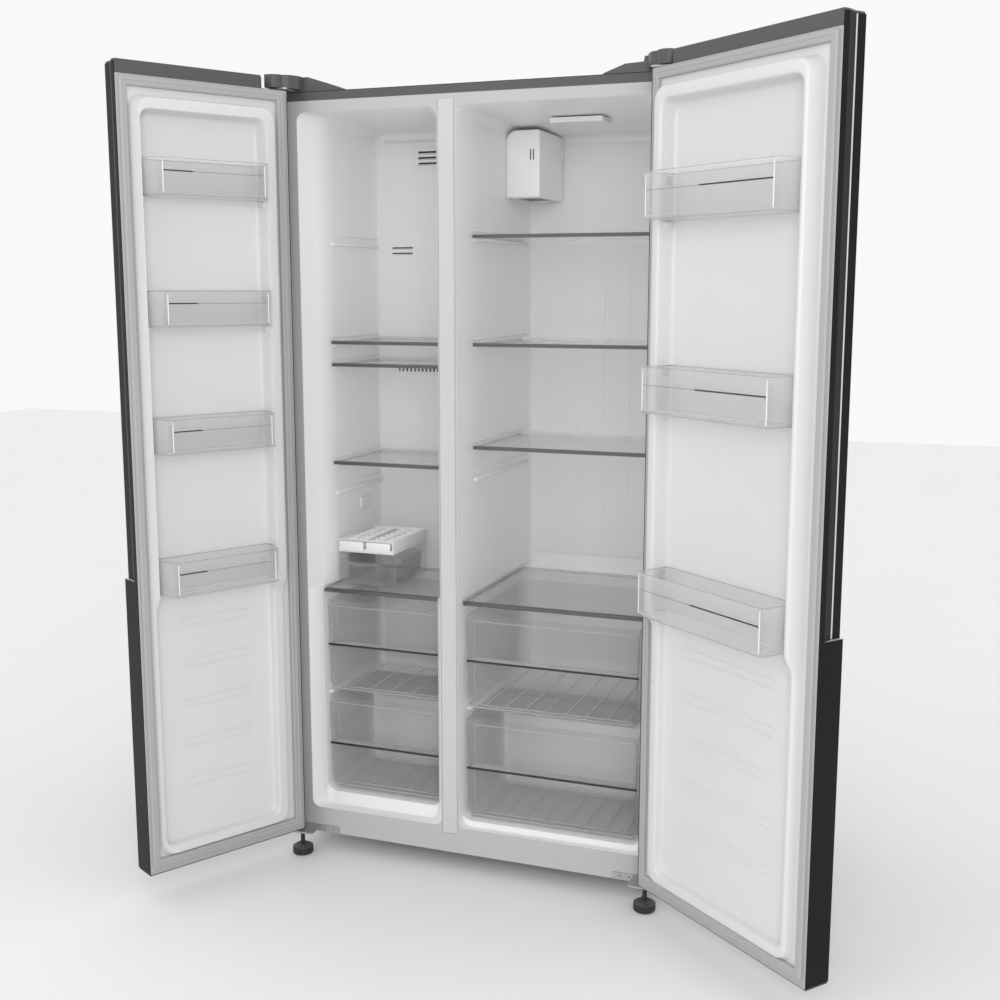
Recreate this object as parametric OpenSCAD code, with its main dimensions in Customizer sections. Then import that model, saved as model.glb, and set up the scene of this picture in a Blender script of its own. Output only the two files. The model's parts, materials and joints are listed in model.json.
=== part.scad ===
// Side by side refrigerator: a freezer on the left, a fridge on the right, both doors standing open.
// Millimetres, +Z up, floor at z = 0. The origin is the middle of the whole footprint, open doors included.

/* [Cabinet] */
// Width of the cabinet
body_w = 895; // [860:1:960]
// Depth of the cabinet without its doors
body_d = 550; // [530:1:640]
// Height of the cabinet's top above the floor
body_h = 1745; // [1720:1:1900]
// Gap between the floor and the cabinet's lower edge
base_gap = 43; // [38:1:60]
// Distance of the parting of the doors from the middle, to the left
split_off = 53; // [30:1:60]
// Width of the strip between the two openings
mullion_w = 42; // [40:1:60]
// Width of the face beside and above each opening
face_w = 41; // [38:1:50]

/* [Doors] */
// How far the freezer door stands open, in degrees
left_open = 118.7; // [0:0.1:125]
// How far the fridge door stands open, in degrees
right_open = 142; // [0:0.1:142]
// Thickness of a door between its outer face and its liner
door_t = 57; // [50:1:70]
// Height of a raised rim of a door liner over its gasket
rim_h = 28; // [20:1:30]
// How far the freezer door bins stand out
left_bin_out = 64; // [50:1:66]
// How far the fridge door bins stand out
right_bin_out = 72; // [50:1:72]

/* [Inside] */
// Depth of the freezer behind the cabinet's face
freezer_d = 345; // [330:1:360]
// Depth of the fridge behind the cabinet's face
fridge_d = 478; // [460:1:482]
// Distance of the shelves' front edges behind the face
shelf_front = 80; // [76:1:90]
// Thickness of a sheet of shelf glass
glass_t = 4; // [3:0.5:5]
// Height of the two cover shelves over the floor
cover_z = 620; // [600:1:640]

/* [Hidden] */
$fn = 48;

front_y = -body_d / 2;          // the face of the cabinet, which the gaskets press on
half_w = body_w / 2;
sheet = 1.2;                    // steel sheet
liner_t = 2;                    // moulded plastic sheet
gap = 0.3;                      // clearance between pieces that only lie beside each other

// openings: [left edge, right edge], bottom and top
mullion_x = -split_off + 1;
freezer_x = [-half_w + face_w, mullion_x - mullion_w / 2];
fridge_x = [mullion_x + mullion_w / 2, half_w - face_w];
open_z = [103, body_h - 43];
open_r = 20;
band_z = body_h - 19;

// walls of the two zones of each compartment: shelves above step_z, drawers below it
step_z = cover_z + 13;
freezer_up = [freezer_x[0] + 30, freezer_x[1] - 30];
freezer_low = [freezer_x[0] + 20, freezer_x[1] - 21];
fridge_up = [fridge_x[0] + 5, fridge_x[1] - 30];
fridge_low = [fridge_x[0] + 0.5, fridge_x[1] - 20];
bevel_up = 76;
bevel_low = 30;

// space for the compressor at the lower back
bay_z = 300;
bay_y = body_d - 215;
lower_back = bay_y - 40;        // rear wall of the lowest drawers' space
lower_top = bay_z + 40;

// doors
door_gap = 9;
door_z = [65, body_h + 23];
left_w = half_w - split_off - 2;
right_w = half_w + split_off - 2;
hinge_in = 11.5;                // hinge axis from the cabinet's side
hinge_out = 42;                 // hinge axis in front of the cabinet's face
pin_r = 5;
notch_w = 62;                   // cut in the door's top corner for the hinge cover
cap_h = 20;
grip_z = 716;                   // lower end of the recessed grip
grip_in = 8;
gasket_w = 20;
gasket_z = [82.5, body_h - 8];
rim_z = [open_z[0], open_z[1]];
rim_low = 9;                    // rim height beside the drawers
rim_slope = 8;                  // how much narrower a rim is at its top
rim_step = [cover_z + 25, cover_z + 72];
left_bin_z = [1504, 1243, 984, 687];
right_bin_z = [1448, 1086, 686];
left_bin_h = 75;
right_bin_h = 90;

// what stands inside
freezer_shelf_z = [1197, 1146, 918];
fridge_shelf_z = [1432, 1197, 968];
freezer_shelf_d = 254;
fridge_shelf_d = 328;
upper_drawer_z = [lower_top + 35, cover_z - 22];
lower_drawer_z = [136, lower_top + 22];
fridge_low_z = [118, lower_top + 16];
upper_bar_z = (upper_drawer_z[0] + upper_drawer_z[1]) / 2 + 4.5;    // handle bars on the drawers' fronts
lower_bar_z = [lower_top - 93, lower_top - 102];
freezer_floor = 131;
fridge_floor = 115;

// ice maker
ice_x = freezer_up[0] + 4;
ice_w = 143;
ice_d = 200;
ice_y = shelf_front + 2;
ice_z = cover_z + 88;
ice_h = 31;
tray_axis_z = ice_z + 16;
tray_pitch = 69;
tray_axis_x = [ice_x + ice_w / 2 - tray_pitch / 2, ice_x + ice_w / 2 + tray_pitch / 2];

// the four outermost points of the footprint, from the open doors and the back
function turned_x(side, angle, dx, dy) = side * (half_w - hinge_in - dx * cos(angle) - dy * sin(angle));
function turned_y(angle, dx, dy) = -hinge_out - dx * sin(angle) + dy * cos(angle);
outer_dy = hinge_out - door_gap - door_t;
right_bin_u = right_w - 51 - 3;
gland_out = 6;
footprint_x = [turned_x(-1, left_open, left_w - hinge_in, outer_dy),
    turned_x(1, right_open, right_w - hinge_in, outer_dy)];
footprint_y = [turned_y(right_open, right_bin_u - hinge_in, hinge_out + right_bin_out), body_d + gland_out];
shift = [-(footprint_x[0] + footprint_x[1]) / 2, -(footprint_y[0] + footprint_y[1]) / 2, 0];

// frame helpers: y = 0 is the cabinet's face here, and depths behind it are positive
module at_face() translate(shift) children();
module block(lo, hi) translate(lo) cube(hi - lo);
module along_y(y0, y1) translate([0, y1, 0]) rotate([90, 0, 0]) linear_extrude(y1 - y0) children();
module along_x(x0, x1) translate([x0, 0, 0]) rotate([90, 0, 90]) linear_extrude(x1 - x0) children();
module rod_y(x, y0, y1, z, r) translate([x, y1, z]) rotate([90, 0, 0]) cylinder(r = r, h = y1 - y0);
module rod_x(x0, x1, y, z, r) translate([x0, y, z]) rotate([0, 90, 0]) cylinder(r = r, h = x1 - x0);
module rounded(lo, hi, r) {
    translate([lo[0] + r, lo[1]]) square([hi[0] - lo[0] - 2 * r, hi[1] - lo[1]]);
    translate([lo[0], lo[1] + r]) square([hi[0] - lo[0], hi[1] - lo[1] - 2 * r]);
    for (x = [lo[0] + r, hi[0] - r], y = [lo[1] + r, hi[1] - r]) translate([x, y]) circle(r);
}

// a door's own frame: u from its hinged edge, y as above, turned open about its hinge axis
module on_door(side) {
    angle = side < 0 ? left_open : right_open;
    at_face() translate([side * (half_w - hinge_in), -hinge_out, 0]) rotate([0, 0, side * angle])
        translate([-side * (half_w - hinge_in), hinge_out, 0])
        mirror([side < 0 ? 0 : 1, 0, 0]) translate([-half_w, 0, 0]) children();
}

// ---- cabinet ----

module cabinet_shell() color([0.13, 0.13, 0.14]) at_face() difference() {
    block([-half_w, 0, base_gap], [half_w, body_d, body_h]);
    block([-half_w + sheet, -1, base_gap - 1], [half_w - sheet, body_d + 1, body_h - sheet]);
}

module front_frame() color([0.86, 0.86, 0.87]) at_face() along_y(0, sheet) difference() {
    translate([-half_w + sheet, base_gap]) square([body_w - 2 * sheet, band_z - base_gap]);
    rounded([freezer_x[0], open_z[0]], [freezer_x[1], open_z[1]], open_r);
    rounded([fridge_x[0], open_z[0]], [fridge_x[1], open_z[1]], open_r);
    mullion_outline(0);
}

module mullion_outline(inset)
    translate([mullion_x - mullion_w / 2 + 3 + inset, 88 + inset])
        square([mullion_w - 6 - 2 * inset, open_z[1] + 14 - 88 - 2 * inset]);

module mullion_cover() color([0.9, 0.9, 0.91]) at_face() along_y(0, 2 * sheet) mullion_outline(gap);

module top_band() color([0.37, 0.37, 0.38]) at_face()
    block([-half_w + sheet, 0, band_z], [half_w - sheet, sheet, body_h - sheet]);

// plan of a compartment: splayed at the face, straight behind, with rounded rear corners
module plan(face, wall, bevel, back, grow) {
    r = 12;
    lo = wall[0] - grow;
    hi = wall[1] + grow;
    polygon([[face[0] - grow, -1], [face[0] - grow, 0], [lo, bevel], [lo, back - r + grow],
        [hi, back - r + grow], [hi, bevel], [face[1] + grow, 0], [face[1] + grow, -1]]);
    translate([lo + r, bevel]) square([hi - lo - 2 * r, back + grow - bevel]);
    for (x = [lo + r, hi - r]) translate([x, back - r + grow]) circle(r);
}

// side view of a compartment: the ceiling falls a little, the floor has a riser, the lower back steps in
module side_view(back, floor_z, riser, drop, grow)
    polygon([[-1, open_z[0] - grow], [riser - 8, open_z[0] - grow], [riser, floor_z - grow],
        [lower_back + grow, floor_z - grow], [lower_back + grow, lower_top - grow],
        [back + grow + 1, lower_top - grow], [back + grow + 1, open_z[1] - drop + grow],
        [0, open_z[1] + grow], [-1, open_z[1] + grow]]);

module cavity(face, up, low, back, floor_z, riser, drop, grow) intersection() {
    union() {
        translate([0, 0, step_z - grow]) linear_extrude(body_h - step_z)
            plan(face, up, bevel_up, back, grow);
        translate([0, 0, base_gap]) linear_extrude(step_z + grow - base_gap)
            plan(face, low, bevel_low, back, grow);
    }
    along_y(-1, back + 20) rounded([face[0] - grow, open_z[0] - grow], [face[1] + grow, open_z[1] + grow],
        open_r + grow);
    along_x(face[0] - 10, face[1] + 10) side_view(back, floor_z, riser, drop, grow);
}

module freezer_cavity(grow) {
    cavity(freezer_x, freezer_up, freezer_low, freezer_d, freezer_floor, 44, 10, grow);
    // space for the evaporator behind the duct cover
    block([freezer_up[0] + 22 - grow, freezer_d - 1, lower_top + 18 - grow],
        [freezer_up[1] - 22 + grow, freezer_d + 105 + grow, open_z[1] - 46 + grow]);
}

module fridge_cavity(grow)
    cavity(fridge_x, fridge_up, fridge_low, fridge_d, fridge_floor, 26, 20, grow);

module insulation() color([0.93, 0.9, 0.72]) at_face() difference() {
    block([-half_w + sheet + gap, sheet + gap, base_gap + 4], [half_w - sheet - gap, body_d - 2,
        body_h - sheet - gap]);
    freezer_cavity(liner_t + gap);
    fridge_cavity(liner_t + gap);
    block([-half_w, bay_y - gap, 0], [half_w, body_d + 1, bay_z + gap]);
    along_y(-1, 2 * sheet + gap) mullion_outline(0);
}

// one pair of rails moulded on the two side walls
module rails(wall, y0, y1, z, h, out) for (s = [0, 1])
    block([s == 0 ? wall[0] - 0.5 : wall[1] - out, y0, z - h],
        [s == 0 ? wall[0] + out : wall[1] + 0.5, y1, z]);

module freezer_liner() color([0.88, 0.88, 0.89]) at_face() {
    difference() {
        freezer_cavity(liner_t);
        freezer_cavity(0);
        block([-half_w, -2, 0], [half_w, sheet, body_h]);
    }
    for (z = concat(freezer_shelf_z, [1426, 851]))
        rails(freezer_up, shelf_front + 8, freezer_d - 9, z - gap, 8, 6);
    rails(freezer_low, 60, freezer_d - 14, cover_z - gap, 8, 5);
    rails(freezer_low, 60, freezer_d - 20, upper_drawer_z[0] - gap, 8, 7);
    rails(freezer_low, 60, lower_back - 10, lower_drawer_z[0] - gap, lower_drawer_z[0] - freezer_floor + 0.5, 7);
}

module fridge_liner() color([0.88, 0.88, 0.89]) at_face() {
    difference() {
        fridge_cavity(liner_t);
        fridge_cavity(0);
        block([-half_w, -2, 0], [half_w, sheet, body_h]);
    }
    for (z = concat(fridge_shelf_z, [901]))
        rails(fridge_up, shelf_front + 8, fridge_d - 30, z - gap, 8, 6);
    rails(fridge_low, 50, fridge_d - 52, cover_z - gap, 8, 5);
    rails(fridge_low, 50, fridge_d - 60, upper_drawer_z[0] - gap, 8, 12);
    rails(fridge_low, 50, lower_back - 10, fridge_low_z[0] - gap, fridge_low_z[0] - fridge_floor + 0.5, 12);
}

// ---- machine bay ----

module back_panel() color([0.75, 0.76, 0.77]) at_face()
    block([-half_w + sheet + gap, body_d - 1.4, bay_z + 2], [half_w - sheet - gap, body_d - 0.2,
        body_h - sheet - gap]);

module base_pan() color([0.7, 0.71, 0.72]) at_face() {
    block([-half_w + sheet + gap, sheet + gap, base_gap], [half_w - sheet - gap, body_d - 2, base_gap + 2]);
    block([-half_w + sheet + gap, bay_y, base_gap], [half_w - sheet - gap, bay_y + 2, bay_z]);
    block([-half_w + sheet + gap, bay_y, bay_z - 2], [half_w - sheet - gap, body_d - 2, bay_z]);
    // brackets of the rollers
    for (s = [-1, 1], x = [-15, 13]) translate([s * roller_x, 0, 0]) difference() {
        block([x, body_d - 70, 12], [x + 2, body_d - 30, base_gap + 1]);
        rod_x(x - 1, x + 3, body_d - 50, roller_r, 4.05);
    }
}

gland_at = [-half_w + 47.5, 270];
module machine_cover() color([0.25, 0.25, 0.26]) at_face() along_y(body_d - 1.6, body_d - 0.2) difference() {
    translate([-half_w + sheet + gap, base_gap + 3])
        square([body_w - 2 * (sheet + gap), bay_z - base_gap - 2]);
    for (x = [-350:50:-100], z = [90:26:246]) translate([x, z]) rounded([-18, -3], [18, 3], 2.9);
    for (x = [100:50:350], z = [90:26:246]) translate([x, z]) rounded([-18, -3], [18, 3], 2.9);
    translate(gland_at) circle(9 + gap);
}

compressor_at = [-250, body_d - 110];
mount_at = [[-75, -55], [75, -55], [-75, 55], [75, 55]];

module compressor() color([0.1, 0.1, 0.11]) at_face() translate([compressor_at[0], compressor_at[1], 0]) {
    translate([0, 0, base_gap + 22]) rotate_extrude($fn = 64) polygon([[0, 0], [60, 0], [72, 12], [72, 60],
        [75, 60], [75, 66], [72, 66], [72, 105], [62, 128], [40, 140], [0, 146]]);
    difference() {
        translate([0, 0, base_gap + 19]) linear_extrude(3.5) rounded([-92, -68], [92, 68], 14);
        for (p = mount_at) translate([p[0], p[1], 0]) cylinder(r = 6.3, h = 100);
    }
    block([70, -24, base_gap + 70], [100, 24, base_gap + 120]);
    for (z = [60, 110]) rod_y(-30, -90, -66, base_gap + z, 4);
}

module compressor_mounts() color([0.15, 0.15, 0.15]) at_face()
    translate([compressor_at[0], compressor_at[1], 0]) for (p = mount_at) translate([p[0], p[1], 0]) {
        translate([0, 0, base_gap + 2]) cylinder(r = 12, h = 17);
        translate([0, 0, base_gap + 18]) cylinder(r = 6, h = 8);
        translate([0, 0, base_gap + 22.8]) cylinder(r = 10, h = 4);
    }

condenser_x = [90, 330];
module condenser() color([0.72, 0.45, 0.3]) at_face() {
    for (x = [condenser_x[0]:12:condenser_x[1]])
        block([x, bay_y + 40, base_gap + 20], [x + 1, body_d - 40, base_gap + 200]);
    for (y = [bay_y + 70, body_d - 70], z = [50:40:170])
        rod_x(condenser_x[0] - 8, condenser_x[1] + 9, y, base_gap + z, 4);
    for (x = [condenser_x[0] - 10, condenser_x[1] + 9])
        block([x, bay_y + 45, base_gap + 2], [x + 2, body_d - 45, base_gap + 205]);
}

fan_x = 20;
fan_y = bay_y + 107;
fan_z = base_gap + 112;
evap_fan_x = (freezer_x[0] + freezer_x[1]) / 2;
evap_fan_y = freezer_d + 40;
evap_fan_z = 1580;

module fan_motors() color([0.3, 0.3, 0.32]) at_face() {
    rod_x(fan_x + 22, fan_x + 52, fan_y, fan_z, 24);
    rod_x(fan_x - 12, fan_x + 23, fan_y, fan_z, 3);
    block([fan_x + 30, fan_y - 9, base_gap + 2], [fan_x + 38, fan_y + 9, fan_z - 18]);
    rod_y(evap_fan_x, evap_fan_y + 22, evap_fan_y + 52, evap_fan_z, 24);
    rod_y(evap_fan_x, evap_fan_y - 12, evap_fan_y + 23, evap_fan_z, 3);
    block([evap_fan_x - 9, evap_fan_y + 30, evap_fan_z + 18], [evap_fan_x + 9, evap_fan_y + 38,
        open_z[1] - 46]);
}

// hub and blades, built round the z axis
module fan(r, n) {
    difference() {
        translate([0, 0, -10]) cylinder(r = 14, h = 20);
        translate([0, 0, -11]) cylinder(r = 3.05, h = 22);
    }
    for (i = [0:n - 1]) rotate([0, 0, i * 360 / n]) translate([12, 0, 0]) rotate([32, 0, 0])
        translate([0, -13, -0.8]) cube([r - 12, 26, 1.6]);
}

module condenser_fan() color([0.2, 0.2, 0.22]) at_face() translate([fan_x, fan_y, fan_z])
    rotate([0, 90, 0]) fan(70, 5);

module evaporator_fan() color([0.8, 0.8, 0.82]) at_face()
    translate([evap_fan_x, evap_fan_y, evap_fan_z]) rotate([90, 0, 0]) fan(60, 6);

evap_x = [freezer_up[0] + 34, freezer_up[1] - 34];
module evaporator() color([0.78, 0.79, 0.8]) at_face() {
    for (x = [evap_x[0]:14:evap_x[1]])
        block([x, freezer_d + 30, 700], [x + 1, freezer_d + 92, 1080]);
    for (y = [freezer_d + 45, freezer_d + 77], z = [730:55:1060])
        rod_x(evap_x[0] - 5, evap_x[1] + 5, y, z, 4);
    // the defrost heater under the coil, and the two side plates that carry both
    rod_x(evap_x[0] - 5, evap_x[1] + 5, freezer_d + 61, 672, 6);
    for (x = [evap_x[0] - 6, evap_x[1] + 4])
        block([x, freezer_d + 26, 660], [x + 2, freezer_d + 105, 1086]);
}

module cord_gland() color([0.1, 0.1, 0.1]) at_face() difference() {
    union() {
        rod_y(gland_at[0], body_d - 10, body_d, gland_at[1], 9);
        rod_y(gland_at[0], body_d, body_d + gland_out, gland_at[1], 12);
    }
    rod_y(gland_at[0], body_d - 11, body_d + gland_out + 1, gland_at[1], 4.5);
}

roller_r = 20;
roller_x = half_w - 67.5;
module rear_rollers() color([0.2, 0.2, 0.2]) at_face() {
    for (s = [-1, 1]) rod_x(s * roller_x - 11, s * roller_x + 11, body_d - 50, roller_r, roller_r);
    rod_x(-roller_x - 20, roller_x + 20, body_d - 50, roller_r, 4);
}

// ---- covers inside ----

duct_x = [freezer_up[0] + 4, freezer_up[1] - 4];
module freezer_duct_cover() color([0.8, 0.8, 0.82]) at_face() {
    mid = (duct_x[0] + duct_x[1]) / 2;
    along_y(freezer_d - 8, freezer_d - 4) difference() {
        rounded([duct_x[0], lower_top + 4], [duct_x[1], open_z[1] - 34], 14);
        for (z = [1616, 1629, 1642]) translate([mid, z]) rounded([-27, -4], [27, 4], 3);
        for (s = [-1, 1], z = [1405, 1418]) translate([mid + s * 71, z]) rounded([-28, -3], [28, 3], 2.5);
        for (i = [-8:8]) translate([mid + i * 10.3, 1124]) square([5, 9], center = true);
    }
    // flanges that stand on the rear wall
    for (x = [duct_x[0] + 3, duct_x[1] - 5])
        block([x, freezer_d - 4.5, lower_top + 22], [x + 2, freezer_d - 1.6, open_z[1] - 60]);
    rod_y(evap_fan_x + 12, freezer_d - 9.5, freezer_d - 7, 1385, 3);
}

rib_pitch = 65;
module fridge_back_cover() color([0.82, 0.82, 0.84]) at_face() {
    mid = (fridge_up[0] + fridge_up[1]) / 2;
    difference() {
        block([fridge_up[0] + 10, fridge_d - 5, step_z + 30], [fridge_up[1] - 10, fridge_d - gap,
            open_z[1] - 40]);
        for (i = [-1:1]) block([mid + i * rib_pitch - 10, fridge_d - 6, step_z + 60],
            [mid + i * rib_pitch + 10, fridge_d - 4, 1425]);
    }
}

housing_x = [fridge_up[0] + 2.5, fridge_up[0] + 82];
housing_y = [296, fridge_d - 5.4];
module damper_housing() color([0.9, 0.9, 0.91]) at_face() difference() {
    block([housing_x[0], housing_y[0], 1529], [housing_x[1], housing_y[1], open_z[1] - 20.6]);
    block([housing_x[0] + 2, housing_y[0] + 2, 1531], [housing_x[1] - 2, housing_y[1] - 2, open_z[1] - 22.6]);
    for (x = [58, 65]) block([housing_x[0] + x, housing_y[0] - 1, 1613],
        [housing_x[0] + x + 3, housing_y[0] + 3, 1638]);
}

lamp_mid = (fridge_up[0] + fridge_up[1]) / 2;
module lamp_covers() color([0.96, 0.96, 0.93]) at_face() {
    // on the fridge ceiling, and on the freezer's left wall
    block([lamp_mid - 60, 190, open_z[1] - 22], [lamp_mid + 60, 260, open_z[1] - 11.2]);
    block([freezer_up[0] + gap, 216, 790], [freezer_up[0] + 5, 266, 818]);
}

// ---- hinges, feet ----

hinge_x = half_w - hinge_in;
foot_x = half_w - 31.5;
foot_y = -35;

module hinges() color([0.62, 0.63, 0.65]) at_face() for (s = [-1, 1]) {
    // top plate with its pin
    difference() {
        translate([s * hinge_x, -hinge_out, body_h + 0.2]) linear_extrude(3)
            mirror([s < 0 ? 0 : 1, 0]) rounded([-8, -12], [36, hinge_out + 62], 7);
        for (y = [22, 48]) translate([s * (hinge_x - 14), y, body_h - 1]) cylinder(r = 3, h = 8);
    }
    translate([s * hinge_x, -hinge_out, body_h - 18]) cylinder(r = pin_r, h = 21);
    // bottom plate, its pin, and the face plate it stands on
    difference() {
        translate([s * hinge_x, -hinge_out, 56]) linear_extrude(4)
            mirror([s < 0 ? 0 : 1, 0]) rounded([-8, -14], [54, hinge_out - gap], 6);
        translate([s * foot_x, foot_y, 50]) cylinder(r = 5.05, h = 12);
    }
    translate([s * hinge_x, -hinge_out, 58]) cylinder(r = pin_r, h = 26);
    translate([s * hinge_x, 0, 0]) mirror([s < 0 ? 0 : 1, 0, 0])
        block([-8, -3.2, 44], [100, -gap, 60]);
}

module hinge_covers() color([0.36, 0.36, 0.37]) at_face() for (s = [-1, 1])
    translate([s * hinge_x, 0, body_h]) mirror([s < 0 ? 0 : 1, 0, 0]) difference() {
        union() {
            translate([0, 0, 3.6]) linear_extrude(27) {
                intersection() {
                    translate([0, -hinge_out]) circle(24);
                    translate([-hinge_in, -hinge_out - 30]) square(60);
                }
                polygon([[-10, -hinge_out - 21], [36, -hinge_out], [48, -hinge_out + 22], [48, -gap],
                    [-10, -gap]]);
            }
            // the part over the cabinet's top slopes down inboard
            along_y(-gap, 70) polygon([[-10, gap], [-10, 30.6], [60, 30.6], [62, 20], [100, 18],
                [145, 2], [145, gap]]);
        }
        block([-9, -hinge_out - 14, -1], [37, 63, 3.8]);
    }

module foot(s) color([0.08, 0.08, 0.08]) at_face() translate([s * foot_x, foot_y, 0]) {
    rotate_extrude($fn = 64) polygon([[0, 0], [21, 0], [24, 3], [24, 17], [14, 23], [0, 23]]);
    translate([0, 0, 22]) cylinder(r = 5, h = 42);
}

// ---- shelves ----

// glass with a trim along the front and a lip along the back
module shelf(x, z, depth) {
    block([x[0] + 1, shelf_front + 8, z], [x[1] - 1, shelf_front + depth - 6, z + glass_t]);
    difference() {
        block([x[0], shelf_front, z - 2], [x[1], shelf_front + 14, z + glass_t + 2]);
        block([x[0] - 1, shelf_front + 6, z - 3], [x[1] + 1, shelf_front + 15, z]);
    }
    block([x[0] + 1, shelf_front + depth - 8, z], [x[1] - 1, shelf_front + depth, z + glass_t + 4]);
}

module freezer_shelf(i) color([0.55, 0.58, 0.58]) at_face()
    shelf([freezer_up[0] + 2.5, freezer_up[1] - 2.5], freezer_shelf_z[i], freezer_shelf_d);
module fridge_shelf(i) color([0.55, 0.58, 0.58]) at_face()
    shelf([fridge_up[0] + 2.5, fridge_up[1] - 2.5], fridge_shelf_z[i], fridge_shelf_d);

module cover_shelf(x, y0, y1) {
    block([x[0] + 1, y0 + 8, cover_z], [x[1] - 1, y1, cover_z + 9]);
    block([x[0], y0, cover_z], [x[1], y0 + 12, cover_z + 9]);
}
module cover_shelves() color([0.55, 0.58, 0.58]) at_face() {
    cover_shelf([freezer_low[0] + 2, freezer_low[1] - 2], 40, freezer_d - 12);
    cover_shelf([fridge_low[0] + 1.5, fridge_low[1] - 2], 28, fridge_d - 50);
}

// ---- drawers ----

module drawer(x, y, z, bar) {
    wall = 2.5;
    difference() {
        block([x[0], y[0], z[0]], [x[1], y[1], z[1]]);
        block([x[0] + wall, y[0] + wall, z[0] + wall], [x[1] - wall, y[1] - wall, z[1] + 1]);
    }
    block([x[0], y[0] - 2, bar - 2], [x[1], y[0] + 1, bar + 2]);
}
freezer_drawer_x = [freezer_low[0] + 3, freezer_low[1] - 3];
fridge_drawer_x = [fridge_low[0] + 6, fridge_low[1] - 8];
module freezer_drawer(z, y1, bar) color([0.82, 0.84, 0.85]) at_face()
    drawer(freezer_drawer_x, [52, y1], z, bar);
module fridge_drawer(z, y1, bar) color([0.82, 0.84, 0.85]) at_face()
    drawer(fridge_drawer_x, [34, y1], z, bar);

// ---- ice maker ----

module ice_frame() color([0.93, 0.93, 0.94]) at_face() {
    difference() {
        block([ice_x, ice_y + 9, ice_z], [ice_x + ice_w, ice_y + ice_d, ice_z + ice_h]);
        block([ice_x + 2.5, ice_y + 13, ice_z - 1], [ice_x + ice_w - 2.5, ice_y + ice_d - 4, ice_z + ice_h + 1]);
        for (x = tray_axis_x) rod_y(x, ice_y, ice_y + ice_d + 1, tray_axis_z, 4.1);
    }
    // side stands on the cover shelf
    for (x = [ice_x, ice_x + ice_w - 2])
        block([x, ice_y + 14, cover_z + 9 + gap], [x + 2, ice_y + ice_d, ice_z]);
}

module ice_tray(i) color([0.9, 0.92, 0.94]) at_face() translate([tray_axis_x[i], 0, tray_axis_z]) {
    wide = 29;
    deep = 12;
    long = [ice_y + 18, ice_y + ice_d - 10];
    difference() {
        block([-wide, long[0], -deep], [wide, long[1], deep]);
        for (row = [0:5], side = [0, 1]) {
            cell = (long[1] - long[0] - 4) / 6;
            block([side * wide - wide + 2, long[0] + 3 + row * cell, -deep + 2],
                [side * wide - 2, long[0] + 3 + (row + 1) * cell - 2, deep + 1]);
        }
    }
    rod_y(0, ice_y + 5, long[0] + 1, 0, 4);
    rod_y(0, long[1] - 1, ice_y + ice_d, 0, 4);
    block([-31, ice_y, -11], [31, ice_y + 8, 11]);
}

module ice_box() color([0.84, 0.86, 0.87]) at_face() {
    x = [ice_x + 6, ice_x + ice_w - 6];
    difference() {
        block([x[0], ice_y + 2, cover_z + 9 + gap], [x[1], ice_y + ice_d - 4, ice_z - 20]);
        block([x[0] + 2, ice_y + 4, cover_z + 12], [x[1] - 2, ice_y + ice_d - 6, ice_z]);
    }
}

// ---- doors ----

// outline of a door from above: the free edge has a recessed grip higher up
// inset draws the outline in from the outer faces, past carries it beyond the open back
module door_plan(w, inset, scoop, past) {
    y0 = -door_gap - door_t + inset;
    y1 = -door_gap + past;
    polygon(scoop ? [[inset, y0], [w - grip_in - inset, y0], [w - grip_in - inset, y0 - inset + 22],
        [w - inset, -door_gap - 12], [w - inset, y1], [inset, y1]]
        : [[inset, y0], [w - inset, y0], [w - inset, y1], [inset, y1]]);
}

module door_bulk(w, inset, z0, z1, past = 0) {
    translate([0, 0, z0]) linear_extrude(grip_z - z0) door_plan(w, inset, false, past);
    difference() {
        translate([0, 0, grip_z]) linear_extrude(z1 - grip_z) door_plan(w, inset, true, past);
        block([-1, -door_gap - door_t - 1, body_h - 2 - inset], [notch_w + inset, 1, z1 + 1]);
    }
}

module door_skin(w) difference() {
    door_bulk(w, 0, door_z[0] + 4, door_z[1] - 4);
    door_bulk(w, sheet, door_z[0] - 1, door_z[1] + 1, 1);
    block([-1, -door_gap - door_t - 1, body_h - cap_h], [notch_w, 1, body_h + 60]);
}

module door_foam(w) difference() {
    door_bulk(w, sheet + gap, door_z[0] + cap_h + gap, door_z[1] - cap_h - gap);
    block([-1, -door_gap - 2 - gap, 0], [w + 1, 1, body_h + 60]);
    block([-1, -door_gap - door_t - 1, body_h - cap_h - 3], [notch_w + 3, 1, body_h + 60]);
}

// end caps with the bushes that the hinge pins turn in
module door_caps(w) {
    difference() {
        intersection() {
            door_bulk(w, sheet + gap, door_z[0], door_z[1]);
            union() {
                block([0, -door_gap - door_t, door_z[1] - cap_h], [w, -door_gap, door_z[1] - 0.2]);
                block([0, -door_gap - 2, body_h - 4 + gap], [w, -door_gap, door_z[1] - cap_h + 1]);
                block([0, -door_gap - door_t, body_h - cap_h], [notch_w + 3, -door_gap - 2 - gap, body_h]);
            }
        }
        translate([hinge_in, -hinge_out, body_h - 19]) cylinder(r = pin_r + 0.05, h = 40);
    }
    difference() {
        block([sheet + gap, -door_gap - door_t + sheet + gap, door_z[0]],
            [w - sheet - gap, -door_gap - 2 - gap, door_z[0] + cap_h]);
        translate([hinge_in, -hinge_out, 50]) cylinder(r = pin_r + 0.05, h = 35);
    }
}

// rim_u: outer and inner edges of the rim, on the hinged side and on the free side
function rim_u(w) = [46, 76, w < 450 ? w - 34 : w - 51, w < 450 ? w - 25 : w - 33];

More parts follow.
